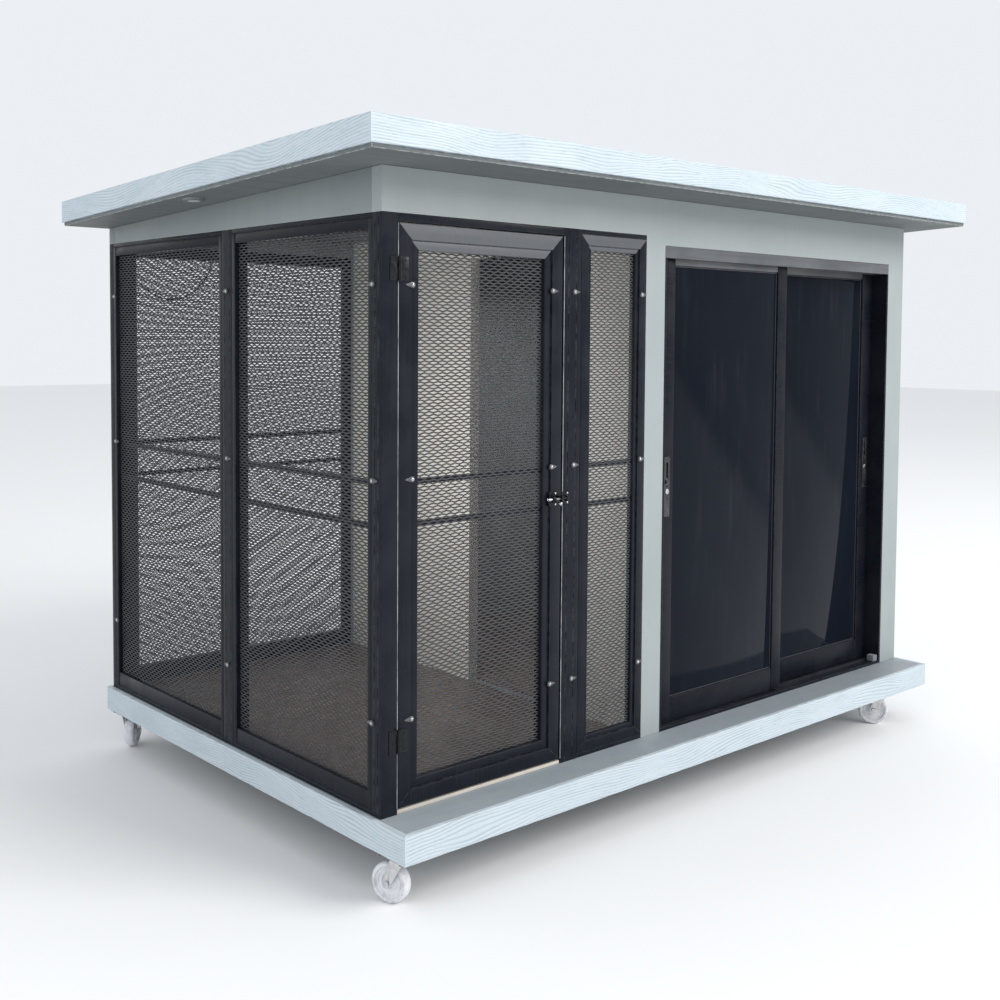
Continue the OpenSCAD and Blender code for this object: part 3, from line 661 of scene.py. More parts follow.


# Most of the lighter rounded edges below are painted highlights where edges catch the light; on some
# finishes, such as the deck steel and the rubber stop, they also stand for rubbed paint.
FINISHES: dict[str, Finish | BoardFinish | PlankFinish | GlassFinish | NylonFinish] = {
    "board": BoardFinish(),
    "planks": PlankFinish(),
    "glass": GlassFinish(),
    "nylon": NylonFinish(),
    "deck_steel": Finish(
        "deck_steel_paint", (0.05, 0.055, 0.06), (0.03, 0.03, 0.032), 0.5, dust=0.3, wear_and_sheen=0.3,
        wear_and_sheen_colour=(0.2, 0.19, 0.18),
    ),
    "deck_paint": Finish(
        "deck_grey_paint", (0.27, 0.31, 0.335), (0.21, 0.245, 0.265), 0.48, cloud_scale=6.0, cloud=0.6,
        streak_axis=Axis.X, streak_scale=120.0, streak=0.25, wear_and_sheen=0.3, wear_and_sheen_colour=(0.55, 0.6, 0.63),
        dust=0.2, dust_colour=(0.36, 0.37, 0.37), bump=0.00015,
    ),
    "caster_steel": Finish(
        "zinc_plate", (0.66, 0.66, 0.67), (0.46, 0.46, 0.47), 0.38, metallic=1.0, cloud_scale=60.0,
        wear_and_sheen=0.4, wear_and_sheen_colour=(0.8, 0.8, 0.8), dust=0.3,
    ),
    "caster_plate": Finish(
        "grey_plate", (0.10, 0.105, 0.11), (0.06, 0.06, 0.065), 0.45, metallic=0.5, cloud_scale=50.0,
        dust=0.2,
    ),
    "wall": Finish(
        "wall_grey_paint", (0.325, 0.358, 0.362), (0.285, 0.318, 0.322), 0.55, cloud_scale=2.4, cloud=0.7,
        streak_axis=Axis.Z, streak_scale=60.0, streak=0.16, wear_and_sheen=0.5, wear_and_sheen_colour=(0.52, 0.56, 0.56),
        wear_and_sheen_width=0.003, bump_scale=260.0, bump=0.00025, gloss=0.35,
    ),
    # A darker copy of the wall paint for the porch headers: painted shade under the roof.
    "shaded_wall": Finish(
        "wall_grey_paint_dull", (0.26, 0.287, 0.29), (0.225, 0.25, 0.255), 0.6, cloud_scale=2.4, cloud=0.7,
        streak_axis=Axis.Z, streak_scale=60.0, streak=0.16, wear_and_sheen=0.6, wear_and_sheen_colour=(0.5, 0.54, 0.54),
        wear_and_sheen_width=0.003, bump_scale=260.0, bump=0.00025, gloss=0.3,
    ),
    "partition": Finish(
        "cream_paint", (0.86, 0.83, 0.76), (0.74, 0.71, 0.64), 0.6, cloud_scale=3.0, streak_axis=Axis.Z,
        streak_scale=50.0, streak=0.15, bump_scale=260.0, bump=0.0002,
    ),
    "sill": Finish(
        "cream_sill_paint", (0.62, 0.57, 0.50), (0.50, 0.45, 0.39), 0.6, cloud_scale=20.0, streak_axis=Axis.X,
        wear_and_sheen=0.4, wear_and_sheen_colour=(0.75, 0.72, 0.68), dust=0.3,
    ),
    "roof": Finish(
        "roof_sheet_grey", (0.44, 0.46, 0.47), (0.36, 0.38, 0.39), 0.65, spread=0.06, cloud_scale=5.0,
        cloud=0.5,
        streak_axis=Axis.Y, streak_scale=40.0, streak=0.3, dust=0.25, bump_scale=180.0, bump=0.0004,
    ),
    # The soffit's grey, darker than the wall paint, is painted shade under the eaves; its bright rounded
    # edges are a painted highlight of the lit front edge.
    "soffit": Finish(
        "soffit_grey_paint", (0.145, 0.16, 0.162), (0.115, 0.13, 0.134), 0.6, cloud_scale=3.0,
        streak_axis=Axis.X,
        streak_scale=50.0, streak=0.2, wear_and_sheen=1.0, wear_and_sheen_colour=(0.66, 0.69, 0.69), wear_and_sheen_width=0.004,
        bump_scale=260.0, bump=0.0002,
    ),
    "lens": Finish("opal_lens", (0.62, 0.62, 0.60), (0.50, 0.50, 0.48), 0.35, cloud_scale=30.0),
    # Black powder coat: its top bars take a lighter grey as a painted reflection, and its rounded edges a
    # painted highlight.
    "profile": Finish(
        "black_powder_coat", (0.0065, 0.0085, 0.0135), (0.015, 0.017, 0.023), 0.27, spread=0.07,
        cloud_scale=9.0,
        cloud=0.6, streak_axis=Axis.Z, streak_scale=140.0, streak=0.3, wear_and_sheen=0.65,
        wear_and_sheen_colour=(0.16, 0.17, 0.19), wear_and_sheen_width=0.0017, dust=0.12, dust_colour=(0.12, 0.12, 0.125),
        bump_scale=900.0, bump=0.00003, gloss=0.12, top_sheen=(0.115, 0.12, 0.13),
    ),
    "rail": Finish(
        "grey_black_anodised", (0.0065, 0.008, 0.013), (0.014, 0.016, 0.021), 0.3, spread=0.07,
        cloud_scale=9.0,
        cloud=0.6, streak_axis=Axis.X, streak_scale=140.0, streak=0.3, wear_and_sheen=0.7,
        wear_and_sheen_colour=(0.20, 0.21, 0.225), wear_and_sheen_width=0.0016, dust=0.12, dust_colour=(0.12, 0.12, 0.125),
        bump_scale=900.0, bump=0.00003, gloss=0.1,
    ),
    # The slider's top rails: a lighter grey than the other rails, a painted reflection of the light from
    # above, with real streaks and dust.
    "head_rail": Finish(
        "weathered_head_rail", (0.125, 0.13, 0.14), (0.06, 0.065, 0.072), 0.4, spread=0.08, cloud_scale=6.0,
        cloud=0.7, streak_axis=Axis.X, streak_scale=160.0, streak=0.5, wear_and_sheen=0.5,
        wear_and_sheen_colour=(0.3, 0.31, 0.325), wear_and_sheen_width=0.0016, dust=0.2, bump_scale=900.0, bump=0.00003,
        gloss=0.25,
    ),
    "expanded_mesh": Finish(
        "black_expanded_metal", (0.052, 0.053, 0.058), (0.076, 0.077, 0.083), 0.5, cloud_scale=14.0,
        cloud=0.8,
        dust=0.2, dust_colour=(0.13, 0.13, 0.13), bump_scale=700.0, bump=0.00005, gloss=0.15,
    ),
    "hardware": Finish(
        "black_hardware_paint", (0.007, 0.008, 0.011), (0.012, 0.013, 0.016), 0.3, cloud_scale=60.0,
        wear_and_sheen=0.45,
        wear_and_sheen_colour=(0.16, 0.17, 0.19), wear_and_sheen_width=0.0006, gloss=0.2,
    ),
    "bright_bolt": Finish(
        "worn_bolt_steel", (0.50, 0.51, 0.53), (0.20, 0.20, 0.21), 0.24, metallic=1.0, cloud_scale=90.0,
        cloud=0.8,
    ),
    "clip": Finish(
        "clip_dark_metal", (0.12, 0.123, 0.13), (0.06, 0.062, 0.066), 0.34, metallic=0.4, cloud_scale=80.0,
        wear_and_sheen=0.8, wear_and_sheen_colour=(0.4, 0.4, 0.42), wear_and_sheen_width=0.001,
    ),
    "screw": Finish(
        "bright_screw", (0.56, 0.57, 0.60), (0.34, 0.35, 0.37), 0.3, metallic=1.0, cloud_scale=120.0,
    ),
    "glide": Finish("white_glide_nylon", (0.78, 0.78, 0.75), (0.62, 0.62, 0.58), 0.4, cloud_scale=40.0),
    # Lock plate: its bright rounded edges are a painted highlight.
    "lock": Finish(
        "lock_plate_grey", (0.030, 0.031, 0.036), (0.05, 0.05, 0.055), 0.3, metallic=0.4, cloud_scale=60.0,
        streak_axis=Axis.Z, wear_and_sheen=0.9, wear_and_sheen_colour=(0.32, 0.32, 0.34), wear_and_sheen_width=0.001,
    ),
    # Pale grey strips along the door's gaps: painted light where light shows through them.
    "seam": Finish(
        "bare_seam_strip", (0.40, 0.41, 0.42), (0.16, 0.165, 0.17), 0.5, cloud_scale=22.0, cloud=1.0,
    ),
    "gasket": Finish("gasket_rubber", (0.016, 0.018, 0.024), (0.010, 0.011, 0.015), 0.5, cloud_scale=30.0),
    "stop": Finish(
        "stop_rubber", (0.16, 0.17, 0.19), (0.10, 0.105, 0.115), 0.65, cloud_scale=60.0, wear_and_sheen=0.6,
        wear_and_sheen_colour=(0.3, 0.3, 0.31), dust=0.4,
    ),
    "cable": Finish("cable_sheath", (0.012, 0.012, 0.013), (0.03, 0.03, 0.03), 0.5, cloud_scale=60.0),
}


class Palette:
    """Every finish as a material, built when it is first asked for."""

    def __init__(self) -> None:
        """Builds the shared groups."""
        self.effects = Effects()
        self.made: dict[str, bpy.types.Material] = {}

    def __getitem__(self, key: str) -> bpy.types.Material:
        """Finds a material, and builds it the first time.

        Args:
            key: the finish's name in FINISHES.

        Returns:
            The material.
        """
        if key not in self.made:
            self.made[key] = FINISHES[key].build(self.effects)
        return self.made[key]


# ---- Mesh helpers ----


def show(mesh: bpy.types.ID, name: str) -> bpy.types.Object:
    """Puts a mesh in the scene.

    Args:
        mesh: the mesh or the curve.
        name: the object's name.

    Returns:
        The object.
    """
    piece = bpy.data.objects.new(name, mesh)
    bpy.context.scene.collection.objects.link(piece)
    return piece


def mesh_of(vertices: Sequence, faces: Sequence, name: str) -> bpy.types.Mesh:
    """Makes a mesh with outward normals.

    Args:
        vertices: its points in metres.
        faces: its faces as lists of point numbers.
        name: its name.

    Returns:
        The mesh.
    """
    mesh = bpy.data.meshes.new(name)
    mesh.from_pydata([tuple(v) for v in vertices], [], [tuple(f) for f in faces])
    edit = bmesh.new()
    edit.from_mesh(mesh)
    bmesh.ops.recalc_face_normals(edit, faces=edit.faces)
    edit.to_mesh(mesh)
    edit.free()
    return mesh


def joined(meshes: Sequence[bpy.types.Mesh], name: str) -> bpy.types.Mesh:
    """Joins meshes into one, with their attributes and smooth flags.

    Args:
        meshes: the meshes.
        name: the new mesh's name.

    Returns:
        The new mesh.
    """
    edit = bmesh.new()
    for mesh in meshes:
        edit.from_mesh(mesh)
    result = bpy.data.meshes.new(name)
    edit.to_mesh(result)
    edit.free()
    return result


def prism(
    outline: Sequence[tuple[float, float]], low: float, high: float, axis: Axis, name: str
) -> bpy.types.Mesh:
    """Extrudes an outline into a closed prism.

    Args:
        outline: its points on the two other axes, in alphabetical order.
        low: where it starts along the axis.
        high: where it ends along the axis.
        axis: the way that it is extruded.
        name: the mesh's name.

    Returns:
        The mesh, smooth round its arcs.
    """
    at = axis.value.index(1.0)
    points = []
    for end in (low, high):
        for place in outline:
            point = list(place)
            point.insert(at, end)
            points.append(point)
    count = len(outline)
    faces = [(k, (k + 1) % count, count + (k + 1) % count, count + k) for k in range(count)]
    mesh = mesh_of(points, [*faces, tuple(range(count)), tuple(range(count, 2 * count))], name)
    return softened(mesh)


def softened(mesh: bpy.types.Mesh, angle: float = 35.0) -> bpy.types.Mesh:
    """Shades a mesh smooth.

    Args:
        mesh: the mesh.
        angle: degrees between two faces from which their edge stays sharp.

    Returns:
        The mesh.
    """
    mesh.polygons.foreach_set("use_smooth", np.ones(len(mesh.polygons), bool))
    mesh.set_sharp_from_angle(angle=math.radians(angle))
    return mesh


def marked(mesh: bpy.types.Mesh, attribute: str, value: float) -> bpy.types.Mesh:
    """Gives every point of a mesh the same value of an attribute.

    Args:
        mesh: the mesh.
        attribute: the attribute's name.
        value: its value.

    Returns:
        The mesh.
    """
    layer = mesh.attributes.new(attribute, "FLOAT", "POINT")
    layer.data.foreach_set("value", np.full(len(mesh.vertices), value, np.float32))
    return mesh


def turned(
    profile: Sequence[tuple[float, float]], place: Matrix, name: str, steps: int = 64
) -> bpy.types.Mesh:
    """Turns a profile round the Z axis into a closed solid.

    Args:
        profile: its points as radius and height, a loop, or a line that starts and ends on the axis.
        place: where the solid goes.
        name: the mesh's name.
        steps: faces round it.

    Returns:
        The mesh.
    """
    ring = profile[0][0] > 0
    angles = np.linspace(0.0, 2 * math.pi, steps, endpoint=False)
    points = [place @ Vector((r * math.cos(a), r * math.sin(a), z)) for a in angles for r, z in profile]
    count = len(profile)
    faces = [
        (i * count + k, ((i + 1) % steps) * count + k, ((i + 1) % steps) * count + (k + 1) % count,
         i * count + (k + 1) % count)
        for i in range(steps) for k in range(count if ring else count - 1)
    ]
    mesh = mesh_of(points, faces, name)
    edit = bmesh.new()
    edit.from_mesh(mesh)
    bmesh.ops.remove_doubles(edit, verts=edit.verts, dist=0.000001)
    bmesh.ops.recalc_face_normals(edit, faces=edit.faces)
    edit.to_mesh(mesh)
    edit.free()
    return softened(mesh, 40.0)


def baked(piece: bpy.types.Object) -> bpy.types.Object:
    """Applies a piece's modifiers to its mesh.

    Args:
        piece: the piece.

    Returns:
        The piece.
    """
    graph = bpy.context.evaluated_depsgraph_get()
    mesh = bpy.data.meshes.new_from_object(piece.evaluated_get(graph), depsgraph=graph)
    piece.modifiers.clear()
    piece.data = mesh
    return piece


def bevelled(
    piece: bpy.types.Object, radius: float, segments: int, mitre: str = "MITER_ARC"
) -> bpy.types.Object:
    """Rounds a piece's edges.

    Args:
        piece: the piece.
        radius: the edges' radius in metres.
        segments: faces across each edge.
        mitre: how edges meet at outer corners.

    Returns:
        The piece.
    """
    bevel = piece.modifiers.new("edges", "BEVEL")
    bevel.width = radius
    bevel.segments = segments
    bevel.limit_method = "ANGLE"
    bevel.angle_limit = math.radians(32)
    bevel.harden_normals = True
    bevel.miter_outer = mitre
    return baked(piece)


def new_tree(name: str, inputs: dict[str, float | str]) -> tuple[Graph, bpy.types.Node, bpy.types.Node]:
    """Starts a Geometry Nodes tree.

    Args:
        name: the tree's name.
        inputs: each input's name, with its default or, where it has none, its kind.

    Returns:
        The graph and the nodes of its inputs and its output.
    """
    tree = bpy.data.node_groups.new(name, "GeometryNodeTree")
    kinds = {float: "Float", int: "Int"}
    for key, value in inputs.items():
        kind = kinds.get(type(value), value)
        socket = tree.interface.new_socket(key, in_out="INPUT", socket_type=f"NodeSocket{kind}")
        if not isinstance(value, str):
            socket.default_value = value
    tree.interface.new_socket("Geometry", in_out="OUTPUT", socket_type="NodeSocketGeometry")
    graph = Graph(tree)
    return graph, graph.add("NodeGroupInput"), graph.add("NodeGroupOutput")


def end_tree(graph: Graph, shape: bpy.types.NodeSocket, given: bpy.types.Node, out: bpy.types.Node) -> None:
    """Ends a Geometry Nodes tree with real geometry in the finish that it is given.

    Args:
        graph: the tree's graph.
        shape: the geometry.
        given: the node of its inputs.
        out: the node of its output.
    """
    real = graph.add("GeometryNodeRealizeInstances")
    graph.join(shape, real.inputs[0])
    finish = graph.add("GeometryNodeSetMaterial")
    graph.join(real.outputs[0], finish.inputs["Geometry"])
    graph.join(given.outputs["Finish"], finish.inputs["Material"])
    graph.join(finish.outputs[0], out.inputs["Geometry"])


def grown(piece: bpy.types.Object, tree: bpy.types.NodeTree, values: dict[str, object]) -> bpy.types.Object:
    """Runs a Geometry Nodes tree on a piece and bakes the result.

    Args:
        piece: the piece.
        tree: the tree.
        values: the tree's inputs by name.

    Returns:
        The piece.
    """
    modifier = piece.modifiers.new(tree.name, "NODES")
    modifier.node_group = tree
    sockets = {item.name: item.identifier for item in tree.interface.items_tree if item.in_out == "INPUT"}
    for key, value in values.items():
        modifier[sockets[key]] = value
    return baked(piece)


def dress(
    piece: bpy.types.Object, body: str, slot: Slot, finish: bpy.types.Material, *nodes: str
) -> bpy.types.Object:
    """Gives a piece its finish and its body, and hides the nodes that it stands for.

    Args:
        piece: the piece.
        body: the body that it rides on.
        slot: the record's material slot; not used.
        finish: its material.
        nodes: the nodes that it replaces.

    Returns:
        The piece.
    """
    if not piece.data.materials:
        piece.data.materials.append(finish)
    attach(piece, body)
    if nodes:
        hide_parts(*nodes)
    log.info("%s rides on %s, %d faces", piece.name, body, len(getattr(piece.data, "polygons", ())))
    return piece


def within(place: Vector, box: Box) -> bool:
    """Whether a point lies in a box, give or take 0.02 mm."""
    return all(low - 0.02 * MM <= at <= high + 0.02 * MM for at, low, high in zip(place, *box))


@dataclass
class House:
    """The loaded frame, with the boxes of its nodes and their solids.

    Args:
        palette: the materials.
    """

    frame: dict
    palette: Palette

    def body(self, node: str) -> str:
        """The body that a node rides on."""
        return self.frame["nodes"][node]["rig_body"]

    def merged(self, node: str) -> bmesh.types.BMesh:
        """Merges the loose triangles of a node.

        Args:
            node: the node.

        Returns:
            Its mesh, to be freed by the caller.
        """
        edit = bmesh.new()
        edit.from_mesh(self.frame["nodes"][node].data)
        bmesh.ops.remove_doubles(edit, verts=edit.verts, dist=0.00001)
        return edit

    def solids(self, node: str) -> list[Box]:
        """Finds the boxes of a node's separate solids.

        Args:
            node: the node.

        Returns:
            The boxes, sorted by their low corners.
        """
        edit = self.merged(node)
        boxes, seen = [], set()
        for start in edit.verts:
            if start in seen:
                continue
            group, queue = [], [start]
            seen.add(start)
            while queue:
                point = queue.pop()
                group.append(point.co)
                for edge in point.link_edges:
                    other = edge.other_vert(point)
                    if other not in seen:
                        seen.add(other)
                        queue.append(other)
            places = np.array(group)
            boxes.append((Vector(places.min(0)), Vector(places.max(0))))
        edit.free()
        return sorted(boxes, key=lambda b: tuple(round(x, 4) for x in b[0]))

    def slope(self) -> float:
        """Fall of the roof per metre towards +Y."""
        front, back = sorted(self.solids("fascias_long"), key=lambda b: b[0].y)
        return (front[1].z - back[1].z) / (back[0].y - front[0].y)

    def eased(
        self, node: str, radius: float, segments: int = 2, name: str | None = None,
        pick: Callable[[Vector], bool] | None = None, wanted: bool = True,
    ) -> bpy.types.Object:
        """Copies a node with merged triangles and softly rounded edges.

        Args:
            node: the node that is copied.
            radius: the radius of its edges in metres.
            segments: faces across each edge.
            name: the new piece's name, or none for the node's own with _dressed.
            pick: sorts the solids by their sizes, or none where all are kept.
            wanted: what pick says of the solids that are kept.

        Returns:
            The new piece, not yet dressed.
        """
        edit = self.merged(node)
        if pick:
            kept = [box for box in self.solids(node) if pick(box[1] - box[0]) == wanted]
            odd = [v for v in edit.verts if not any(within(v.co, box) for box in kept)]
            bmesh.ops.delete(edit, geom=odd, context="VERTS")
        bmesh.ops.dissolve_limit(
            edit, angle_limit=math.radians(1.0), verts=edit.verts, edges=edit.edges, delimit={"NORMAL"}
        )
        for face in edit.faces:
            face.smooth = True
        name = name or node + "_dressed"
        mesh = bpy.data.meshes.new(name)
        edit.to_mesh(mesh)
        edit.free()
        return bevelled(show(mesh, name), radius, segments)

    def dress_copy(
        self, node: str, radius: float, finish: str, slot: Slot, segments: int = 2
    ) -> bpy.types.Object:
        """Replaces a node by its eased copy in a finish, and returns the new piece."""
        piece = self.eased(node, radius, segments)
        return dress(piece, self.body(node), slot, self.palette[finish], node)


# ---- Grain boards ----


def lattice_noise(u: np.ndarray, v: np.ndarray, seed: int) -> np.ndarray:
    """Smooth noise from 0 to 1 on a lattice of one unit.

    Args:
        u: places along the first way.
        v: places along the second way.
        seed: the seed of the lattice.

    Returns:
        The noise at each place.
    """
    table = np.random.RandomState(seed).rand(LATTICE, LATTICE)
    iu, iv = np.floor(u).astype(int), np.floor(v).astype(int)
    fu, fv = u - iu, v - iv
    fu, fv = fu * fu * (3 - 2 * fu), fv * fv * (3 - 2 * fv)

    def corner(a: int, b: int) -> np.ndarray:
        """The lattice's values at one corner of the cells."""
        return table[(iu + a) % LATTICE, (iv + b) % LATTICE]

    low = corner(0, 0) * (1 - fu) + corner(1, 0) * fu
    high = corner(0, 1) * (1 - fu) + corner(1, 1) * fu
    return low * (1 - fv) + high * fv


@dataclass
class GrainBoard:
    """A long board with a mitre at both ends and an embossed grain on its outside face.

    Args:
        origin: the lower outside corner where the board starts.
        along: the way that it runs.
        inward: the way into the house.
        length: its length on the outside.
        height: its height.
        thickness: its thickness.
        slope: fall of its edges per metre towards +Y.
        level_y: the place along Y where the edges have the origin's height.
        round_start: radius of the rounded corner at its start.
        round_end: radius of the rounded corner at its end.
        seed: the seed of its grain.
        line_pitch: distance between the lines of the grain.
        relief: depth of the deepest groove.
        edge_radius: radius of its long edges.
        step_along: distance between points along it.
        step_up: distance between points up it.
    """

    origin: Vector
    along: Vector
    inward: Vector
    length: float
    height: float
    thickness: float
    slope: float = 0.0
    level_y: float = 0.0
    round_start: float = 0.0015
    round_end: float = 0.0015
    seed: int = 1
    line_pitch: float = 0.0076
    relief: float = 0.0010
    edge_radius: float = 0.0015
    step_along: float = 0.008
    step_up: float = 0.0016

    def grain(self, u: np.ndarray, v: np.ndarray) -> np.ndarray:
        """Finds how deep the grooves are.

        Args:
            u: places along the board.
            v: places up the board.

        Returns:
            The depth at each place, from 0 to 1.
        """
        sway = 0.075 * (lattice_noise(u * 2.3, v * 4.0, self.seed) - 0.5)
        arch = 0.026 * (lattice_noise(u * 7.5, v * 16.0, self.seed + 1) - 0.5)
        line = (v + sway + arch) / self.line_pitch
        groove = np.abs((line % 1.0) - 0.5) * 2.0
        depth = np.clip((groove - 0.35) / 0.55, 0.0, 1.0)
        strength = 0.25 + 0.9 * lattice_noise(u * 9.0, np.floor(line) * 3.1, self.seed + 2)
        pores = np.clip(lattice_noise(u * 45.0, v * 520.0, self.seed + 3) - 0.72, 0.0, 1.0) * 1.6
        return np.clip(depth * depth * strength + pores, 0.0, 1.0)

    def stations(self) -> np.ndarray:
        """Spreads the points along the board.

        Returns:
            The places, closer together on the rounded corners.
        """
        middle = np.linspace(
            self.round_start, self.length - self.round_end,
            max(2, int((self.length - self.round_start - self.round_end) / self.step_along)),
        )
        turn = np.linspace(math.pi / 4, 0.0, 5)[:-1]
        start = self.round_start * (1 - np.sin(turn))
        end = self.length - self.round_end * (1 - np.sin(turn[::-1]))
        return np.concatenate([start, middle, end])

    def corner_depth(self, s: np.ndarray) -> np.ndarray:
        """Finds how far the outside face stands back on the rounded corners.

        Args:
            s: places along the board.

        Returns:
            The distance at each place.
        """
        depth = np.zeros_like(s)
        for radius, reach in ((self.round_start, s), (self.round_end, self.length - s)):
            inside = reach < radius
            depth[inside] = radius - np.sqrt(np.maximum(0.0, radius**2 - (radius - reach[inside]) ** 2))
        return depth

    def mesh(self, name: str) -> bpy.types.Mesh:
        """Builds the board as one closed mesh with a groove attribute.

        Args:
            name: the mesh's name.

        Returns:
            The mesh.
        """
        rows = np.linspace(0.0, self.height, max(4, int(self.height / self.step_up)))
        turn = np.linspace(0.0, math.pi / 2, 4)[1:-1]
        radius = self.edge_radius
        low = [(self.thickness, 0.0)]
        low += [(radius * (1 - math.sin(t)), radius * (1 - math.cos(t))) for t in turn]
        face = [(0.0, z) for z in rows if radius <= z <= self.height - radius]
        high = [(d, self.height - z) for d, z in reversed(low)]
        profile = np.array(low + face + high)
        on_face = (profile[:, 0] < radius).astype(float)
        s = self.stations()
        u, v = np.meshgrid(s, profile[:, 1], indexing="ij")
        groove = self.grain(u + self.seed, v) * on_face
        ends = np.minimum(u, self.length - u)
        groove *= np.clip(ends / 0.004, 0.0, 1.0)
        depth = np.maximum(profile[:, 0] + self.relief * groove, self.corner_depth(s)[:, None] * on_face)
        place = np.clip(u, depth + HAIRLINE, self.length - depth - HAIRLINE)
        points = (
            np.array(self.origin)
            + place[..., None] * np.array(self.along)
            + depth[..., None] * np.array(self.inward)
            + v[..., None] * np.array((0.0, 0.0, 1.0))
        )
        points[..., 2] -= self.slope * (points[..., 1] - self.level_y)
        count = len(profile)
        faces = [
            (i * count + k, (i + 1) * count + k, (i + 1) * count + (k + 1) % count,
             i * count + (k + 1) % count)
            for i in range(len(s) - 1) for k in range(count)
        ]
        faces += [tuple(range(count)), tuple((len(s) - 1) * count + k for k in range(count))]
        mesh = mesh_of(points.reshape(-1, 3), faces, name)
        attribute = mesh.attributes.new("groove", "FLOAT", "POINT")
        attribute.data.foreach_set("value", groove.astype(np.float32).ravel())
        return softened(mesh, 40.0)


class Corner(Enum):
    """The radius of a trim ring's corners in metres: crisp in front on the left, worn round elsewhere."""

    CRISP = 0.0015
    SOFT = 0.006
    ROUND = 0.0115


@dataclass
class BoardRing:
    """Four mitred boards round the deck or the roof.

    Args:
        house: the loaded frame.
        long_node: the node that holds the front and back boards.
        short_node: the node that holds the left and right boards.
        seed: the seed of its grain.
    """

    house: House
    long_node: str
    short_node: str
    seed: int

    def build(self) -> None:
        """Builds both pairs of boards and dresses them."""
        front, back = sorted(self.house.solids(self.long_node), key=lambda b: b[0].y)
        left, right = self.house.solids(self.short_node)
        thickness = front[1].y - front[0].y
        slope = (front[1].z - back[1].z) / (back[0].y - front[0].y)
        height = front[1].z - front[0].z - slope * thickness
        low = Vector((left[0].x, front[0].y, front[1].z - height))
        far = Vector((right[1].x, back[1].y, low.z))
        starts = (low, Vector((far.x, low.y, low.z)), far, Vector((low.x, far.y, low.z)))
        x, y = Vector((1, 0, 0)), Vector((0, 1, 0))
        ways = (x, y, -x, -y)
        lengths = (far.x - low.x, far.y - low.y)
        corners = [corner.value for corner in (Corner.CRISP, Corner.ROUND, Corner.SOFT, Corner.ROUND)]
        boards = [
            GrainBoard(
                starts[i], ways[i], ways[(i + 1) % 4], lengths[i % 2], height, thickness, slope, front[0].y,
                round_start=corners[i], round_end=corners[(i + 1) % 4], seed=self.seed + 10 * i,
            ).mesh("board")
            for i in range(4)
        ]
        for node, sides in ((self.long_node, (0, 2)), (self.short_node, (3, 1))):
            piece = show(joined([boards[side] for side in sides], node + "_grain"), node + "_grain")
            dress(piece, self.house.body(node), Slot.TRIM_BOARD, self.house.palette["board"], node)
        log.info("board ring %s: slope %.4f", self.long_node, slope)


# ---- Framed openings ----


@dataclass
class Member:
    """An extruded bar with mitred ends.

    Args:
        profile: its closed outline as pairs of distance across from the outer edge and depth from the front.
        length: its length at the outer edge.
    """

    profile: list[tuple[float, float]]
    length: float

    def mesh(self, place: Matrix) -> bpy.types.Mesh:
        """Builds the bar along +X with its outer edge on the ground line and puts it in place.

        Args:
            place: where it goes.

        Returns:
            The mesh.
        """
        points = []
        for side in (0, 1):
            for across, depth in self.profile:
                end = across + HAIRLINE
                points.append(place @ Vector((end if side == 0 else self.length - end, depth, across)))
        count = len(self.profile)
        faces = [(k, (k + 1) % count, count + (k + 1) % count, count + k) for k in range(count)]
        faces += [tuple(range(count)), tuple(range(count, 2 * count))]
        return mesh_of(points, faces, "member")


def arc(
    centre: tuple[float, float], radius: float, start: float, end: float, steps: int
) -> list[tuple[float, float]]:
    """Points on an arc.

    Args:
        centre: its centre as across and depth.
        radius: its radius.
        start: its first angle in degrees.
        end: its last angle in degrees.
        steps: the number of pieces.

    Returns:
        The points.
    """
    return [
        (centre[0] + radius * math.cos(math.radians(a)), centre[1] + radius * math.sin(math.radians(a)))
        for a in np.linspace(start, end, steps + 1)
    ]


def mitred_ring(low: Vector, high: Vector, outline: list[tuple[float, float]], name: str) -> bpy.types.Mesh:
    """Joins four mitred bars into a rectangle that faces -Y.

    Args:
        low: its low corner; its Y is the front.
        high: its high corner.
        outline: the bars' outline.
        name: the mesh's name.

    Returns:
        The mesh.
    """
    width, height = high.x - low.x, high.z - low.z
    centre = Vector(((low.x + high.x) / 2, low.y, (low.z + high.z) / 2))
    meshes = []
    for quarter in range(4):
        length, away = (width, height) if quarter % 2 == 0 else (height, width)
        turn = Matrix.Translation(centre) @ Matrix.Rotation(math.radians(-90 * quarter), 4, "Y")
        bar = Member(outline, length).mesh(turn @ Matrix.Translation(Vector((-length / 2, 0, -away / 2))))
        # The top bar is marked for the painted reflection of the light from above.
        marked(bar, "top_sheen", 1.0 if quarter == 2 else 0.0)
        meshes.append(bar)
    return softened(joined(meshes, name))


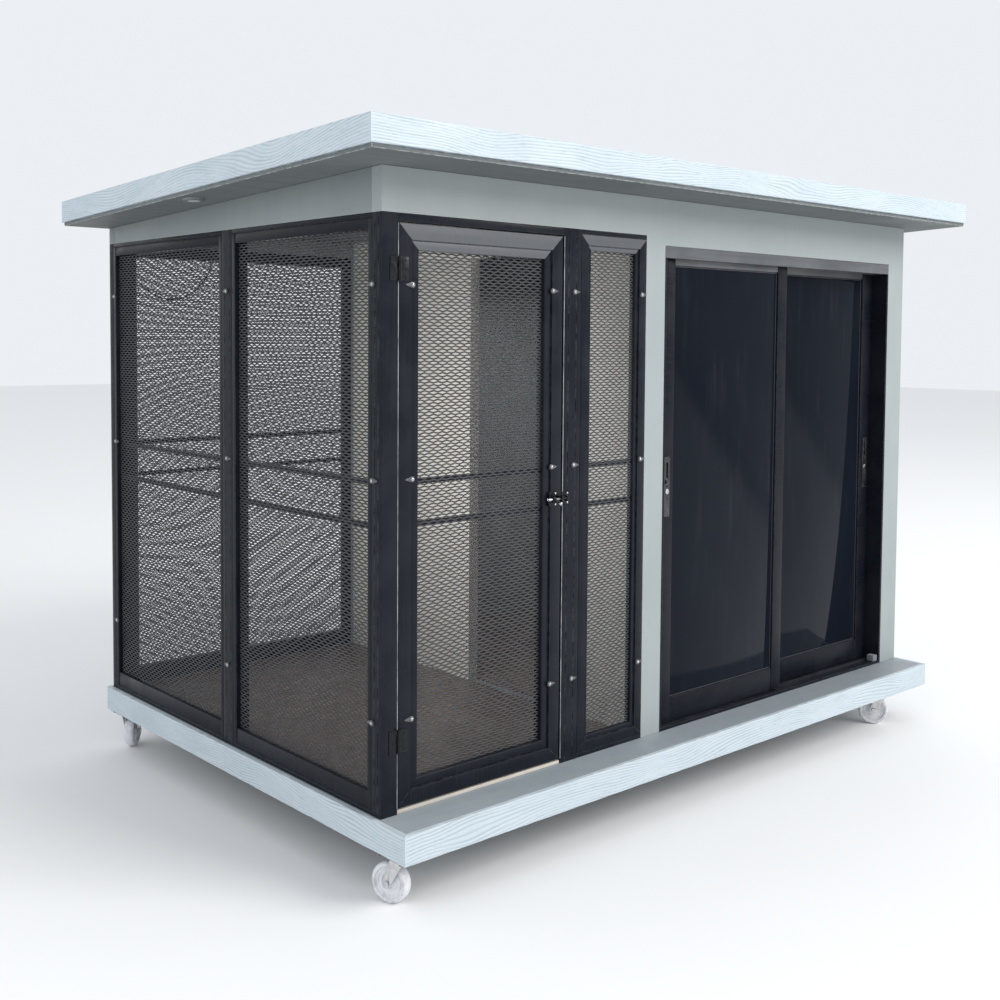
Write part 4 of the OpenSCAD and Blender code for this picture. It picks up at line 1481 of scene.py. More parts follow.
@dataclass
class ProfileFrame:
    """A frame of four mitred extrusions with a flat outer land, a groove and a stepped, rounded bead.

    Args:
        house: the loaded frame.
        node: the frame's node.
        fill: the node of the mesh that it holds.
        bead: width of the stepped bead.
        step: how far the bead stands back.
        edge: radius of its edges.
        groove: width of the groove beside the bead.
        groove_depth: depth of that groove.
    """

    house: House
    node: str
    fill: str
    bead: float
    step: float = 0.004
    edge: float = 0.0014
    groove: float = 0.0016
    groove_depth: float = 0.0012

    def profile(self, face: float, depth: float) -> list[tuple[float, float]]:
        """Draws a member's outline.

        Args:
            face: its width in front.
            depth: its depth.

        Returns:
            The outline, as across and depth.
        """
        r, flat = self.edge, face - self.bead
        top = self.step + 0.0003
        floor = top + self.groove_depth
        points = [(0.0, depth), *arc((r, r), r, 180, 270, 3), *arc((flat - r, r), r, 270, 360, 3)]
        points += [(flat, floor), (flat + self.groove, floor)]
        points += arc((flat + self.groove + r, top + r), r, 180, 270, 3)
        points += arc((face - 2.5 * r, top + 2.5 * r), 2.5 * r, 270, 360, 4)
        return [*points, (face, depth)]

    def build(self) -> bpy.types.Object:
        """Builds the four members as one piece.

        Returns:
            The piece.
        """
        low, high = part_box(self.node)
        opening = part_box(self.fill)[0]
        outline = self.profile(opening.x - HAIRLINE - low.x, high.y - low.y)
        name = self.node + "_extrusions"
        piece = show(mitred_ring(low, high, outline, name), name)
        body, finish = self.house.body(self.node), self.house.palette["profile"]
        return dress(piece, body, Slot.BLACK_PROFILE, finish, self.node)


# ---- Expanded metal ----


class ExpandedMetal:
    """Sheets of expanded metal, made by one Geometry Nodes tree.

    The strands are zigzag bars that meet their neighbours at the corners of the diamonds. LONG_WAY and
    SHORT_WAY are the diamonds' pitches in metres, STRAND is a strand's width, COARSE and FINE are grades.
    """

    LONG_WAY = 0.027
    SHORT_WAY = 0.0145
    STRAND = 0.0039
    COARSE = 1.0
    FINE = 0.83

    def __init__(self, house: House) -> None:
        """Builds the tree.

        Args:
            house: the loaded frame.
        """
        self.house = house
        self.tree = self._tree()

    @staticmethod
    def _tree() -> bpy.types.NodeTree:
        """Builds the Geometry Nodes tree.

        Returns:
            The tree.
        """
        g, given, out = new_tree("expanded_metal", {
            "Long way": ExpandedMetal.LONG_WAY, "Short way": ExpandedMetal.SHORT_WAY,
            "Strand": ExpandedMetal.STRAND, "Sheet": 0.0012, "Columns": 10, "Rows": 10, "Finish": "Material",
        })
        halved = g.math("DIVIDE", given.outputs["Long way"], 2.0)
        rise = g.math("DIVIDE", given.outputs["Short way"], 2.0)
        count = g.math("ADD", g.math("MULTIPLY", given.outputs["Columns"], 2.0), 1.0)

        # One strand: a line along X whose points swing between two heights
        step = g.add("ShaderNodeCombineXYZ")
        g.join(halved, step.inputs[0])
        line = g.add("GeometryNodeMeshLine")
        g.join(count, line.inputs["Count"])
        g.join(step.outputs[0], line.inputs["Offset"])
        index = g.add("GeometryNodeInputIndex")
        odd = g.math("MODULO", index.outputs[0], 2.0)
        low = g.math("MULTIPLY", given.outputs["Strand"], 0.5)
        swing = g.math("SUBTRACT", rise, given.outputs["Strand"])
        height = g.add("ShaderNodeCombineXYZ")
        g.join(g.math("ADD", g.math("MULTIPLY", odd, swing), low), height.inputs[2])
        lifted = g.add("GeometryNodeSetPosition")
        g.join(line.outputs["Mesh"], lifted.inputs["Geometry"])
        g.join(height.outputs[0], lifted.inputs["Offset"])

        # The rows: every second one is turned over so that neighbours meet
        pair = g.add("ShaderNodeCombineXYZ")
        g.join(rise, pair.inputs[2])
        rows = g.add("GeometryNodeMeshLine")
        g.join(given.outputs["Rows"], rows.inputs["Count"])
        g.join(pair.outputs[0], rows.inputs["Offset"])
        flip = g.math("SUBTRACT", 1.0, g.math("MULTIPLY", odd, 2.0))
        scale = g.add("ShaderNodeCombineXYZ", in_0=1.0, in_1=1.0)
        g.join(flip, scale.inputs[2])
        shifted = g.add("GeometryNodeSetPosition")
        lift = g.add("ShaderNodeCombineXYZ")
        g.join(g.math("MULTIPLY", odd, rise), lift.inputs[2])
        g.join(rows.outputs["Mesh"], shifted.inputs["Geometry"])
        g.join(lift.outputs[0], shifted.inputs["Offset"])
        placed = g.add("GeometryNodeInstanceOnPoints")
        g.join(shifted.outputs["Geometry"], placed.inputs["Points"])
        g.join(lifted.outputs["Geometry"], placed.inputs["Instance"])
        g.join(scale.outputs[0], placed.inputs["Scale"])
        real = g.add("GeometryNodeRealizeInstances")
        g.join(placed.outputs[0], real.inputs[0])

        # The strands get their flat section
        curve = g.add("GeometryNodeMeshToCurve")
        g.join(real.outputs[0], curve.inputs["Mesh"])
        upright = g.add("GeometryNodeSetCurveNormal")
        upright.mode = "FREE" if "FREE" in upright.bl_rna.properties["mode"].enum_items else "Z_UP"
        section = g.add("GeometryNodeCurvePrimitiveQuadrilateral")
        g.join(given.outputs["Sheet"], section.inputs["Width"])
        g.join(given.outputs["Strand"], section.inputs["Height"])
        if upright.mode == "FREE":
            upright.inputs["Normal"].default_value = (0.0, 1.0, 0.0)
        g.join(curve.outputs[0], upright.inputs["Curve"])
        swept = g.add("GeometryNodeCurveToMesh")
        swept.inputs["Fill Caps"].default_value = True
        g.join(upright.outputs[0], swept.inputs["Curve"])
        g.join(section.outputs[0], swept.inputs["Profile Curve"])
        end_tree(g, swept.outputs[0], given, out)
        return g.tree

    def build(self, node: str, along: Axis, grade: float = COARSE) -> bpy.types.Object:
        """Builds the sheet in place of a node.

        Args:
            node: the sheet's node.
            along: the way that its long side runs.
            grade: how large its diamonds are beside the common sheet's.

        Returns:
            The piece.
        """
        low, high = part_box(node)
        size = high - low
        width, thick = (size.x, size.y) if along is Axis.X else (size.y, size.x)
        columns = round(width / (self.LONG_WAY * grade))
        rows = round(size.z / (self.SHORT_WAY * grade / 2))
        finish = self.house.palette["expanded_mesh"]
        piece = grown(show(bpy.data.meshes.new(node + "_strands"), node + "_strands"), self.tree, {
            "Long way": width / columns, "Short way": 2 * size.z / rows, "Strand": self.STRAND * grade,
            "Sheet": thick * 0.8, "Columns": columns, "Rows": rows, "Finish": finish,
        })
        angle, inward = (0, (0.0, thick / 2, 0.0)) if along is Axis.X else (90, (thick / 2, 0.0, 0.0))
        turn = Matrix.Rotation(math.radians(angle), 4, "Z")
        piece.data.transform(Matrix.Translation(low + Vector(inward)) @ turn)
        return dress(piece, self.house.body(node), Slot.BLACK_MESH, finish, node)


# ---- Fixings that repeat ----


@dataclass
class Spot:
    """One place of a repeated fixing.

    Args:
        place: its foot.
        out: the way that it faces.
        along: the way that its tail or its slot points.
    """

    place: Vector
    out: Vector
    along: Vector

    def turn(self) -> tuple[float, float, float]:
        """Its Euler angles, from +Z out and +X along."""
        side = self.out.cross(self.along)
        return tuple(Matrix((self.along, side, self.out)).transposed().to_euler())


class Fixings:
    """Clips, screws and bolts, each shape repeated by one Geometry Nodes tree."""

    CLIP_HEIGHT = 0.004
    SCREW_RADIUS = 0.0045
    SCREW_HEIGHT = 0.003

    def __init__(self, house: House) -> None:
        """Builds the tree and the shapes.

        Args:
            house: the loaded frame.
        """
        self.house = house
        self.tree = self._tree()
        self.tail = self._tail()
        self.screw = self._screw()

    @staticmethod
    def _tree() -> bpy.types.NodeTree:
        """Builds the tree that puts a shape on each point.

        Returns:
            The tree.
        """
        g, given, out = new_tree("repeated_fixing", {
            "Points": "Geometry", "Shape": "Object", "Scale": 1.0, "Loose turn": 0.0, "Seed": 11,
            "Finish": "Material",
        })
        shape = g.add("GeometryNodeObjectInfo")
        g.join(given.outputs["Shape"], shape.inputs["Object"])
        facing = g.add("GeometryNodeInputNamedAttribute", data_type="FLOAT_VECTOR")
        facing.inputs["Name"].default_value = "facing"
        placed = g.add("GeometryNodeInstanceOnPoints")
        g.join(given.outputs["Points"], placed.inputs["Points"])
        g.join(shape.outputs["Geometry"], placed.inputs["Instance"])
        euler = g.add("FunctionNodeEulerToRotation")
        g.join(facing.outputs[0], euler.inputs[0])
        g.join(euler.outputs[0], placed.inputs["Rotation"])
        g.join(given.outputs["Scale"], placed.inputs["Scale"])
        loose = g.add("FunctionNodeRandomValue", data_type="FLOAT")
        g.join(given.outputs["Seed"], loose.inputs["Seed"])
        spin = g.add("ShaderNodeCombineXYZ")
        g.join(g.math("MULTIPLY", loose.outputs[1], given.outputs["Loose turn"]), spin.inputs[2])
        spun = g.add("FunctionNodeEulerToRotation")
        g.join(spin.outputs[0], spun.inputs[0])
        turned_over = g.add("GeometryNodeRotateInstances")
        g.join(placed.outputs[0], turned_over.inputs["Instances"])
        g.join(spun.outputs[0], turned_over.inputs["Rotation"])
        end_tree(g, turned_over.outputs[0], given, out)
        return g.tree

    def _tail(self) -> bpy.types.Object:
        """Builds the clip's leaf: round under the screw, tapering to a blunt point.

        Returns:
            Its object, outside the scene.
        """
        outline = arc((0.0, 0.0), 0.0074, 53, 307, 14) + arc((0.0182, 0.0), 0.0018, -70, 70, 4)
        top = self.CLIP_HEIGHT
        rings = ((0.0, 1.0), (top - 0.0009, 1.0), (top - 0.0003, 0.95), (top, 0.86))
        points = []
        for height, scale in rings:
            for x, y in outline:
                fall = 1.0 - 0.45 * max(0.0, x) / 0.020
                points.append((x * scale + 0.001 * (1 - scale), y * scale, height * fall))
        count = len(outline)
        faces = [
            (r * count + k, r * count + (k + 1) % count, (r + 1) * count + (k + 1) % count,
             (r + 1) * count + k)
            for r in range(len(rings) - 1) for k in range(count)
        ]
        faces += [tuple(range(count)), tuple((len(rings) - 1) * count + k for k in range(count))]
        return bpy.data.objects.new("clip_leaf", softened(mesh_of(points, faces, "clip_leaf"), 50.0))

    def _screw(self) -> bpy.types.Object:
        """Builds a pan head with a cross recess.

        Returns:
            Its object, outside the scene.
        """
        r, h = self.SCREW_RADIUS, self.SCREW_HEIGHT
        profile = [(0.0, 0.0), (r * 0.98, 0.0), (r, 0.3 * h), (0.96 * r, 0.55 * h), (0.8 * r, 0.8 * h),
                   (0.5 * r, 0.95 * h), (0.0, h)]
        head = show(turned(profile, Matrix.Identity(4), "screw_head", 20), "screw_head")
        cuts = []
        for quarter in (0, 1):
            half = (0.62 * r, 0.14 * r) if quarter == 0 else (0.14 * r, 0.62 * r)
            outline = [(-half[0], -half[1]), (half[0], -half[1]), (half[0], half[1]), (-half[0], half[1])]
            cuts.append(show(prism(outline, 0.55 * h, 1.4 * h, Axis.Z, "slot"), f"slot_{quarter}"))
            cut = head.modifiers.new("slot", "BOOLEAN")
            cut.operation = "DIFFERENCE"
            cut.object = cuts[-1]
        baked(head)
        softened(head.data, 40.0)
        for piece in (head, *cuts):
            bpy.context.scene.collection.objects.unlink(piece)
        for cut in cuts:
            bpy.data.objects.remove(cut)
        return head

    def repeat(
        self, name: str, shape: bpy.types.Object, spots: Sequence[Spot], body: str, slot: Slot, finish: str,
        *nodes: str, scale: float = 1.0, loose: float = 0.0,
    ) -> bpy.types.Object:
        """Repeats a shape.

        Args:
            name: the piece's name.
            shape: the clip's leaf or the screw.
            spots: where it is repeated.
            body: the body that it rides on.
            slot: the record's material slot.
            finish: its finish.
            nodes: the nodes that it replaces.
            scale: its size against the shape.
            loose: radians that each one may be turned on its own axis.

        Returns:
            The piece.
        """
        mesh = bpy.data.meshes.new(name)
        mesh.from_pydata([tuple(spot.place) for spot in spots], [], [])
        facing = mesh.attributes.new("facing", "FLOAT_VECTOR", "POINT")
        facing.data.foreach_set("vector", [angle for spot in spots for angle in spot.turn()])
        piece = show(mesh, name)
        grown(piece, self.tree, {
            "Shape": shape, "Scale": scale, "Loose turn": loose, "Seed": 11,
            "Finish": self.house.palette[finish],
        })
        return dress(piece, body, slot, self.house.palette[finish], *nodes)

    def clip_spots(self, node: str) -> list[Spot]:
        """The places of a node's clips, from its leaves and its screw heads.

        Args:
            node: the clips' node.

        Returns:
            A place for each clip, its foot on the frame.
        """
        leaves, heads = [], []
        for low, high in self.house.solids(node):
            (leaves if max(high - low) > 0.012 else heads).append((low, high))
        spots = []
        for low, high in leaves:
            size = high - low
            flat = min(range(3), key=lambda i: size[i])
            out = Vector([-1.0 if i == flat else 0.0 for i in range(3)])
            if node == "panel_clips" and flat == 1 and low.y > 0:
                out = -out
            middle = (low + high) / 2
            head = min(heads, key=lambda b: ((b[0] + b[1]) / 2 - middle).length)
            screw = (head[0] + head[1]) / 2
            way = middle - screw
            way[flat] = 0.0
            longest = max(range(3), key=lambda i: abs(way[i]))
            along = Vector([math.copysign(1.0, way[i]) if i == longest else 0.0 for i in range(3)])
            foot = screw.copy()
            foot[flat] = high[flat] if out[flat] < 0 else low[flat]
            spots.append(Spot(foot, out, along))
        return spots

    def clips(self) -> None:
        """Builds the clips of the fixed panels and of the door, each with its screw."""
        for node in ("panel_clips", "door_clips"):
            body, spots = self.house.body(node), self.clip_spots(node)
            self.repeat(node + "_leaves", self.tail, spots, body, Slot.CLIP_PLASTIC, "clip", node)
            raised = [Spot(s.place + s.out * (self.CLIP_HEIGHT - 0.0004), s.out, s.along) for s in spots]
            self.repeat(
                node + "_screws", self.screw, raised, body, Slot.CLIP_PLASTIC, "screw", node, loose=1.5
            )

    def hardware_screws(self) -> None:
        """Builds the small screws of the hinges and the bolt."""
        front, up = Vector((0, -1, 0)), Vector((0, 0, 1))
        for node, side in (("door_hinge_leaves", 1), ("post_hinge_leaves", -1)):
            spots = []
            for low, high in self.house.solids(node):
                x = high.x - 0.009 if side > 0 else low.x + 0.009
                middle = (low.z + high.z) / 2
                spots += [
                    Spot(Vector((x, high.y - 0.002, middle + dz)), front, up) for dz in (-0.02, 0.0, 0.02)
                ]
            self.repeat(node + "_screws", self.screw, spots, self.house.body(node), Slot.BLACK_HARDWARE,
                        "hardware", scale=0.5, loose=1.5)
        for node in ("bolt_guide", "bolt_keeper"):
            low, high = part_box(node)
            xs = (low.x + 0.0235,) if node == "bolt_guide" else (high.x - 0.004,)
            spots = [Spot(Vector((x, high.y - 0.002, z)), front, up) for x in xs
                     for z in (low.z + 0.0045, high.z - 0.0045)]
            self.repeat(node + "_screws", self.screw, spots, self.house.body(node), Slot.BLACK_HARDWARE,
                        "screw", scale=0.7, loose=1.5)


# ---- Sub-assemblies ----


@dataclass
class PorchCable:
    """The free cable that hangs under the porch ceiling.

    Args:
        house: the loaded frame.
        corner: the front left corner of the walls on the deck, in metres.
        diameter: its diameter.
        length: its real length; not used.
        route: its route in millimetres from that corner.
    """

    house: House
    corner: tuple[float, float, float] = (-1.1395, -0.666, 0.198)
    diameter: float = 0.005
    length: float = 0.466
    route: tuple = (
        (352, 1425, 1493.2), (352, 1425, 1478), (351, 1425, 1456), (347, 1425, 1428), (339, 1425, 1396),
        (326, 1425, 1364), (308, 1425, 1334), (284, 1425, 1307), (256, 1425, 1286), (224, 1425, 1272),
        (190, 1425, 1267), (156, 1426, 1271), (124, 1428, 1283), (98, 1431, 1301), (80, 1436, 1320),
        (70, 1443, 1336), (67, 1450.2, 1342.5),
    )

    def build(self) -> bpy.types.Object:
        """Returns:
            The piece.
        """
        curve = bpy.data.curves.new("porch_cable_sheath", "CURVE")
        curve.dimensions = "3D"
        curve.bevel_depth = self.diameter / 2
        curve.bevel_resolution = 4
        curve.use_fill_caps = True
        line = curve.splines.new("POLY")
        points = [Vector(self.corner) + Vector(point) * MM for point in self.route]
        line.points.add(len(points) - 1)
        for target, place in zip(line.points, points):
            target.co = (*place, 1.0)
        line.use_smooth = True
        piece = show(curve, "porch_cable_sheath")
        body, finish = self.house.body("porch_cable"), self.house.palette["cable"]
        dress(piece, body, Slot.CABLE_RUBBER, finish, "porch_cable")
        tuple(points[0])
        return piece


@dataclass
class PorchPosts:
    """The ribbed posts of the porch and the pale strips along the door's seams, painted light where light
    shows through the gaps.

    Args:
        house: the loaded frame.
        edge: radius of their edges.
        rib: half the width of a groove.
        rib_depth: depth of a groove.
        seam_width: width of a pale strip.
        seam_proud: how far a strip stands out.
    """

    house: House
    edge: float = 0.0016
    rib: float = 0.0015
    rib_depth: float = 0.0013
    seam_width: float = 0.0019
    seam_proud: float = 0.00022

    def outline(self, low: Vector, high: Vector, front: Sequence[float], left: Sequence[float]) -> list:
        """A post's outline seen from above.

        Args:
            low: its low corner.
            high: its high corner.
            front: places of the grooves on its front, from its left edge.
            left: places of the grooves on its left side, from its front edge.

        Returns:
            The outline.
        """
        r, w, d = self.edge, self.rib, self.rib_depth
        points = arc((low.x + r, low.y + r), r, 180, 270, 3)
        for place in front:
            x = low.x + place
            points += [(x - w, low.y), (x - 0.5 * w, low.y + d), (x + 0.5 * w, low.y + d), (x + w, low.y)]
        points += arc((high.x - r, low.y + r), r, 270, 360, 3) + arc((high.x - r, high.y - r), r, 0, 90, 3)
        points += arc((low.x + r, high.y - r), r, 90, 180, 3)
        for place in reversed(left):
            y = low.y + place
            points += [(low.x, y + w), (low.x + d, y + 0.5 * w), (low.x + d, y - 0.5 * w), (low.x, y - w)]
        return points

    def build(self) -> None:
        """Builds the posts and the seam strips."""
        corner, middle, rear, lock = self.house.solids("porch_posts")
        grooves = (
            (corner, (), (0.013, 0.027)), (middle, (), (0.014, 0.041)), (rear, (), (0.014,)),
            (lock, (0.018, 0.047), ()),
        )
        meshes = [
            prism(self.outline(low, high, front, left), low.z, high.z, Axis.Z, "post")
            for (low, high), front, left in grooves
        ]
        piece = show(joined(meshes, "porch_posts_ribbed"), "porch_posts_ribbed")
        body = self.house.body("porch_posts")
        dress(piece, body, Slot.BLACK_PROFILE, self.house.palette["profile"], "porch_posts")
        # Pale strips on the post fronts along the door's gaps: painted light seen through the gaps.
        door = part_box("door_frame")
        front = corner[0].y
        strips = []
        for x in (corner[1].x - self.seam_width - 0.0003, lock[0].x + 0.0003):
            outline = [
                (x, front + 0.001), (x + 0.0002, front - self.seam_proud),
                (x + self.seam_width - 0.0002, front - self.seam_proud), (x + self.seam_width, front + 0.001),
            ]
            strips.append(prism(outline, door[0].z, door[1].z, Axis.Z, "seam"))
        seams = show(joined(strips, "door_seam_strips"), "door_seam_strips")
        dress(seams, body, Slot.BLACK_PROFILE, self.house.palette["seam"])


@dataclass
class FrontWall:
    """The front wall as one skin round the sliding door, its top on the slope of the roof.

    Args:
        house: the loaded frame.
        edge: radius of its outer corners.
    """

    house: House
    edge: float = 0.0012

    def build(self) -> bpy.types.Object:
        """Builds the wall.

        Returns:
            The piece.
        """
        header, left, over, right = self.house.solids("front_wall")
        low, high = header
        base, sill = left[0].z, over[0].z
        outline = [
            (low.x, low.z), (left[0].x, low.z), (left[0].x, base), (left[1].x, base), (left[1].x, sill),
            (right[0].x, sill), (right[0].x, base), (right[1].x, base), (high.x, high.z), (low.x, high.z),
        ]
        mesh = prism(outline, low.y, high.y, Axis.Y, "front_wall_skin")
        for point in mesh.vertices:
            if point.co.z > low.z + 0.01 and point.co.y > (low.y + high.y) / 2:
                point.co.z -= self.house.slope() * (high.y - low.y)
        piece = bevelled(show(mesh, "front_wall_skin"), self.edge, 2, "MITER_SHARP")
        body, finish = self.house.body("front_wall"), self.house.palette["wall"]
        return dress(piece, body, Slot.WALL_PAINT, finish, "front_wall")


@dataclass
class SlidingDoor:
    """The rails of the sliding door and its sashes, the panes' gaskets and the two locks.

    Args:
        house: the loaded frame.
        lip: width of a gasket.
        proud: thickness of a gasket.
    """

    house: House
    lip: float = 0.0045
    proud: float = 0.0022

    @staticmethod
    def is_top_rail(size: Vector) -> bool:
        """Whether a solid of that size is a top rail, which is given a painted reflection of the light from
        above.
        """
        return 0.02 < size.z < 0.05 and size.x > 0.3

    @staticmethod
    def is_plate(size: Vector) -> bool:
        """Whether a solid of that size is a lock's plate, not its key barrel."""
        return size.z > 0.1

    def build(self) -> None:
        """Builds the rails, the gaskets, the locks' plates and their bright key barrels."""
        for node in ("slider_frame", "left_sash", "right_sash"):
            # Top rails take the lighter head_rail finish, a painted reflection of the light from above.
            for part, finish in (("top", "head_rail"), ("rest", "rail")):
                piece = self.house.eased(node, 0.0011, 2, f"{node}_{part}", self.is_top_rail, part == "top")
                dress(piece, self.house.body(node), Slot.BLACK_PROFILE, self.house.palette[finish], node)
        for side in ("left", "right"):
            body = self.house.body(side + "_glass")
            low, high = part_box(side + "_glass")
            r = 0.0008
            outline = [
                (0.0, self.proud), *arc((r, r), r, 180, 270, 2), *arc((self.lip - r, r), r, 270, 360, 2),
                (self.lip, self.proud),
            ]
            front = Vector((low.x, low.y - self.proud - 0.0001, low.z))
            name = side + "_pane_gasket"
            gasket = show(mitred_ring(front, high, outline, name), name)
            dress(gasket, body, Slot.BLACK_PROFILE, self.house.palette["gasket"])
            lock = side + "_lock"
            plate = self.house.eased(lock, 0.0006, 2, lock + "_plate", self.is_plate)
            dress(plate, body, Slot.LOCK_METAL, self.house.palette["lock"], lock)
            barrel = self.house.eased(lock, 0.0009, 2, side + "_key_barrel", self.is_plate, False)
            dress(barrel, body, Slot.LOCK_METAL, self.house.palette["screw"], lock)


@dataclass
class Casters:
    """The four moulded wheels, turned with rings on their webs.

    Args:
        house: the loaded frame.
        outline: half of the wheel's section in millimetres, radius and height, from the bore to the tread.
    """

    house: House
    outline: tuple = (
        (5.4, 15.8), (6.4, 16.0), (12.0, 16.0), (12.9, 15.4), (13.6, 12.6), (15.0, 9.2), (19.5, 9.0),
        (20.3, 10.1), (22.0, 10.1), (22.8, 9.0), (29.5, 9.0), (30.3, 10.1), (32.0, 10.1), (32.8, 9.0),
        (36.8, 9.0), (38.4, 12.0), (39.8, 14.7), (40.8, 15.0), (42.8, 15.0), (43.3, 14.1), (44.6, 14.1),
        (45.1, 14.9), (46.6, 13.6), (48.0, 12.0), (49.3, 9.4), (50.0, 6.4),
    )

    def build(self) -> None:
        """Builds each wheel on the axis of its spin joint."""
        half = [(r * MM, z * MM) for r, z in self.outline]
        loop = half + [(r, -z) for r, z in reversed(half)]
        for joint in self.house.frame["joints"]:
            if not joint["name"].endswith("_spin"):
                continue
            corner = joint["name"].removesuffix("_spin")
            axis = Vector(joint["axis"]).normalized()
            turn = axis.to_track_quat("Z", "Y").to_matrix().to_4x4()
            place = Matrix.Translation(Vector(joint["pos_m"])) @ turn
            name = f"wheel_{corner}"
            wheel = show(turned(loop, place, name + "_turned", 72), name + "_turned")
            dress(wheel, joint["child"], Slot.WHEEL_NYLON, self.house.palette["nylon"], name)
            self.house.dress_copy(f"fork_{corner}", 0.0007, "caster_steel", Slot.CASTER_STEEL)
        self.house.dress_copy("caster_plates", 0.0006, "caster_plate", Slot.CASTER_STEEL)


@dataclass
class EaveLamp:
    """The small flush lamp under the left eave: a painted rim and an opal lens.

    Args:
        house: the loaded frame.
        lens: radius of the lens.
    """

    house: House
    lens: float = 0.017

    def build(self) -> None:
        """Builds the rim and the lens."""
        rim = self.house.eased("soffit_light", 0.0012, 2, "eave_lamp_rim")
        body = self.house.body("soffit_light")
        dress(rim, body, Slot.LIGHT_LENS, self.house.palette["soffit"], "soffit_light")
        low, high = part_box("soffit_light")
        tilt = Matrix.Rotation(-math.atan(self.house.slope()), 4, "X")
        place = Matrix.Translation((low + high) / 2) @ tilt
        r = self.lens
        profile = [(0.0, 0.0), (r, 0.0), (r, -0.0032), (0.9 * r, -0.0037), (0.6 * r, -0.0041), (0.0, -0.0043)]
        lens = show(turned(profile, place, "eave_lamp_lens", 40), "eave_lamp_lens")
        dress(lens, body, Slot.LIGHT_LENS, self.house.palette["lens"], "soffit_light")


# ---- The scene ----


@dataclass(frozen=True)
class Studio:
    """Camera, lights and floor.

    Args:
        eye: the camera's place.
        azimuth: degrees from +Y towards +X that the view turns, negative to the right.
        elevation: degrees that it looks down.
        roll: degrees that it leans.
        lens: focal length in millimetres on a 36 mm sensor.
        shift: the camera's shift.
        floor: half the side of the floor.
    """

    eye: tuple[float, float, float] = (-2.8365, -2.9857, 1.3435)
    azimuth: float = -41.79
    elevation: float = 2.90
    roll: float = 0.40
    lens: float = 44.10
    shift: tuple[float, float] = (-0.0014, -0.0991)
    floor: float = 30.0

    def camera(self) -> None:
        """Makes the camera."""
        data = bpy.data.cameras.new("camera")
        data.lens = self.lens
        data.sensor_width = 36.0
        data.shift_x, data.shift_y = self.shift
        data.clip_end = 100.0
        camera = bpy.data.objects.new("camera", data)
        a, e = math.radians(self.azimuth), math.radians(self.elevation)
        back = Vector((math.sin(a) * math.cos(e), -math.cos(a) * math.cos(e), math.sin(e)))
        aim = (-back).to_track_quat("-Z", "Y").to_matrix().to_4x4()
        camera.matrix_world = (
            Matrix.Translation(Vector(self.eye)) @ aim @ Matrix.Rotation(math.radians(self.roll), 4, "Z")
        )
        bpy.context.scene.collection.objects.link(camera)
        bpy.context.scene.camera = camera

    @staticmethod
    def light(name: str, place: tuple, aim: tuple, size: float, watts: float, colour: Colour) -> None:
        """Makes a square area light.

        Args:
            name: its name.
            place: where it stands.
            aim: the point that it faces.
            size: its side in metres.
            watts: its power.
            colour: its colour.
        """
        data = bpy.data.lights.new(name, "AREA")
        data.size = size
        data.energy = watts
        data.color = colour
        lamp = bpy.data.objects.new(name, data)
        lamp.location = place
        lamp.visible_camera = False
        lamp.rotation_mode = "QUATERNION"
        lamp.rotation_quaternion = (Vector(aim) - Vector(place)).to_track_quat("-Z", "Y")
        bpy.context.scene.collection.objects.link(lamp)

    def stage(self) -> None:
        """Makes the floor, the soft lights and the pale surroundings."""
        scene = bpy.context.scene
        scene.view_settings.view_transform = "Standard"
        square = ((-1, -1), (1, -1), (1, 1), (-1, 1))
        corners = [(x * self.floor, y * self.floor, -0.5 * MM) for x, y in square]
        floor = show(mesh_of(corners, [(0, 1, 2, 3)], "studio_floor"), "studio_floor")
        _, shader = new_material("studio_floor_paint")
        shader.inputs["Base Color"].default_value = (0.86, 0.86, 0.86, 1.0)
        shader.inputs["Roughness"].default_value = 0.9
        floor.data.materials.append(bpy.data.materials["studio_floor_paint"])
        world = bpy.data.worlds.new("pale_surroundings")
        world.use_nodes = True
        world.node_tree.nodes["Background"].inputs["Color"].default_value = (0.93, 0.96, 1.0, 1.0)
        world.node_tree.nodes["Background"].inputs["Strength"].default_value = 0.9
        scene.world = world
        self.light("key", (4.6, -9.5, 7.5), (0.2, 0, 1.0), 6.5, 1060.0, (1.0, 0.99, 0.97))
        self.light("fill", (-6.0, -1.5, 3.2), (0, 0, 1.0), 3.5, 60.0, (0.93, 0.96, 1.0))
        self.light("room", (0.5, 0.1, 1.55), (0.5, 0.1, 0.0), 0.5, 3.6, (1.0, 0.99, 0.97))
        self.light("porch", (-0.95, 0.05, 1.1), (-0.2, 0.05, 0.95), 0.7, 4.2, (1.0, 0.99, 0.97))


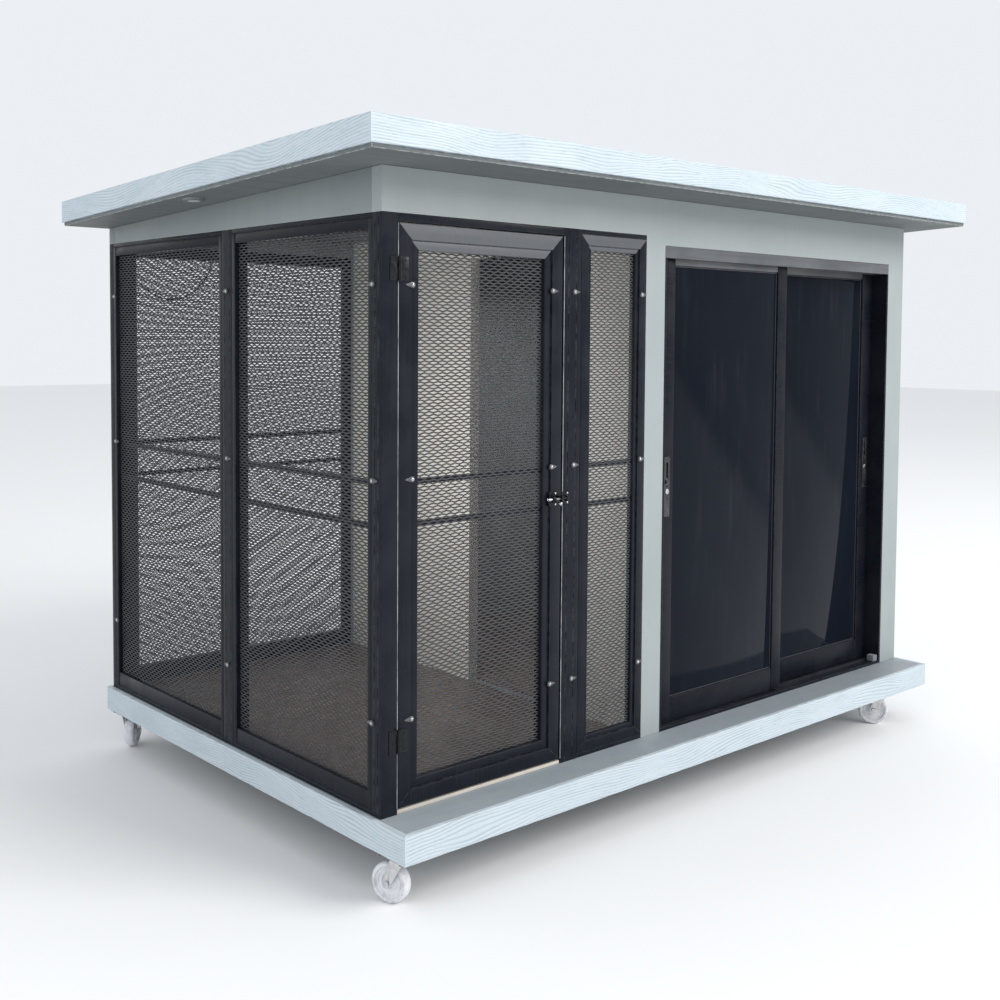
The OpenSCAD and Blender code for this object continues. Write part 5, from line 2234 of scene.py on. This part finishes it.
def carried_over(house: House) -> None:
    """Gives the plain structure softly rounded copies and their finishes.

    Args:
        house: the loaded frame.
    """
    for node, radius, finish, slot in (
        ("deck_board", 1.2, "deck_paint", Slot.DECK_PAINT),
        ("floor_sheets", 1.0, "planks", Slot.FLOOR_WOOD),
        ("right_wall", 1.5, "wall", Slot.WALL_PAINT),
        ("back_wall", 1.5, "wall", Slot.WALL_PAINT),
        # The porch headers take the darker copy of the wall paint, painted shade.
        ("porch_headers", 1.5, "shaded_wall", Slot.WALL_PAINT),
        ("partition_wall", 1.5, "partition", Slot.PARTITION_PAINT),
        ("door_sill", 1.0, "sill", Slot.PARTITION_PAINT),
        ("roof_panel", 1.5, "roof", Slot.ROOF_SHEET),
        ("soffit_board", 1.2, "soffit", Slot.SOFFIT_PAINT),
        ("porch_tracks", 1.0, "profile", Slot.BLACK_PROFILE),
        ("front_side_frame", 1.2, "profile", Slot.BLACK_PROFILE),
        ("rear_side_frame", 1.2, "profile", Slot.BLACK_PROFILE),
        ("back_frame", 1.2, "profile", Slot.BLACK_PROFILE),
        ("panel_bars", 0.8, "profile", Slot.BLACK_PROFILE),
        ("door_bars", 0.8, "profile", Slot.BLACK_PROFILE),
        ("left_glass", 0.8, "glass", Slot.DARK_GLASS),
        ("right_glass", 0.8, "glass", Slot.DARK_GLASS),
        ("left_glides", 0.6, "glide", Slot.GLIDE_NYLON),
        ("right_glides", 0.6, "glide", Slot.GLIDE_NYLON),
        ("left_thumb_slide", 0.5, "lock", Slot.LOCK_METAL),
        ("right_thumb_slide", 0.5, "lock", Slot.LOCK_METAL),
        ("sash_stop", 2.5, "stop", Slot.STOP_RUBBER),
        ("door_hinge_leaves", 0.4, "hardware", Slot.BLACK_HARDWARE),
        ("post_hinge_leaves", 0.4, "hardware", Slot.BLACK_HARDWARE),
        ("hinge_pins", 0.3, "hardware", Slot.BLACK_HARDWARE),
        ("bolt_guide", 0.7, "hardware", Slot.BLACK_HARDWARE),
        ("bolt_keeper", 0.7, "hardware", Slot.BLACK_HARDWARE),
        ("bolt_rod", 0.4, "bright_bolt", Slot.BLACK_HARDWARE),
    ):
        house.dress_copy(node, radius * MM, finish, slot)
    house.frame["nodes"]["base_rails"].material_slots[0].material = house.palette["deck_steel"]


def main() -> None:
    """Builds the object and its stage."""
    logging.basicConfig(level=logging.INFO, format="%(message)s")
    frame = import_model()
    studio = Studio()
    studio.camera()
    house = House(frame, Palette())
    PorchCable(house).build()
    carried_over(house)
    FrontWall(house).build()
    BoardRing(house, "deck_trims_long", "deck_trims_short", 3).build()
    BoardRing(house, "fascias_long", "fascias_short", 57).build()
    PorchPosts(house).build()
    ProfileFrame(house, "door_frame", "door_mesh", bead=0.024).build()
    ProfileFrame(house, "narrow_frame", "narrow_mesh", bead=0.014).build()
    metal = ExpandedMetal(house)
    for node, along, grade in (
        ("front_side_mesh", Axis.Y, metal.COARSE), ("rear_side_mesh", Axis.Y, metal.COARSE),
        ("back_mesh", Axis.X, metal.FINE), ("narrow_mesh", Axis.X, metal.COARSE),
        ("door_mesh", Axis.X, metal.COARSE),
    ):
        metal.build(node, along, grade)
    SlidingDoor(house).build()
    fixings = Fixings(house)
    fixings.clips()
    fixings.hardware_screws()
    Casters(house).build()
    EaveLamp(house).build()
    studio.stage()


if __name__ == "__main__":
    main()
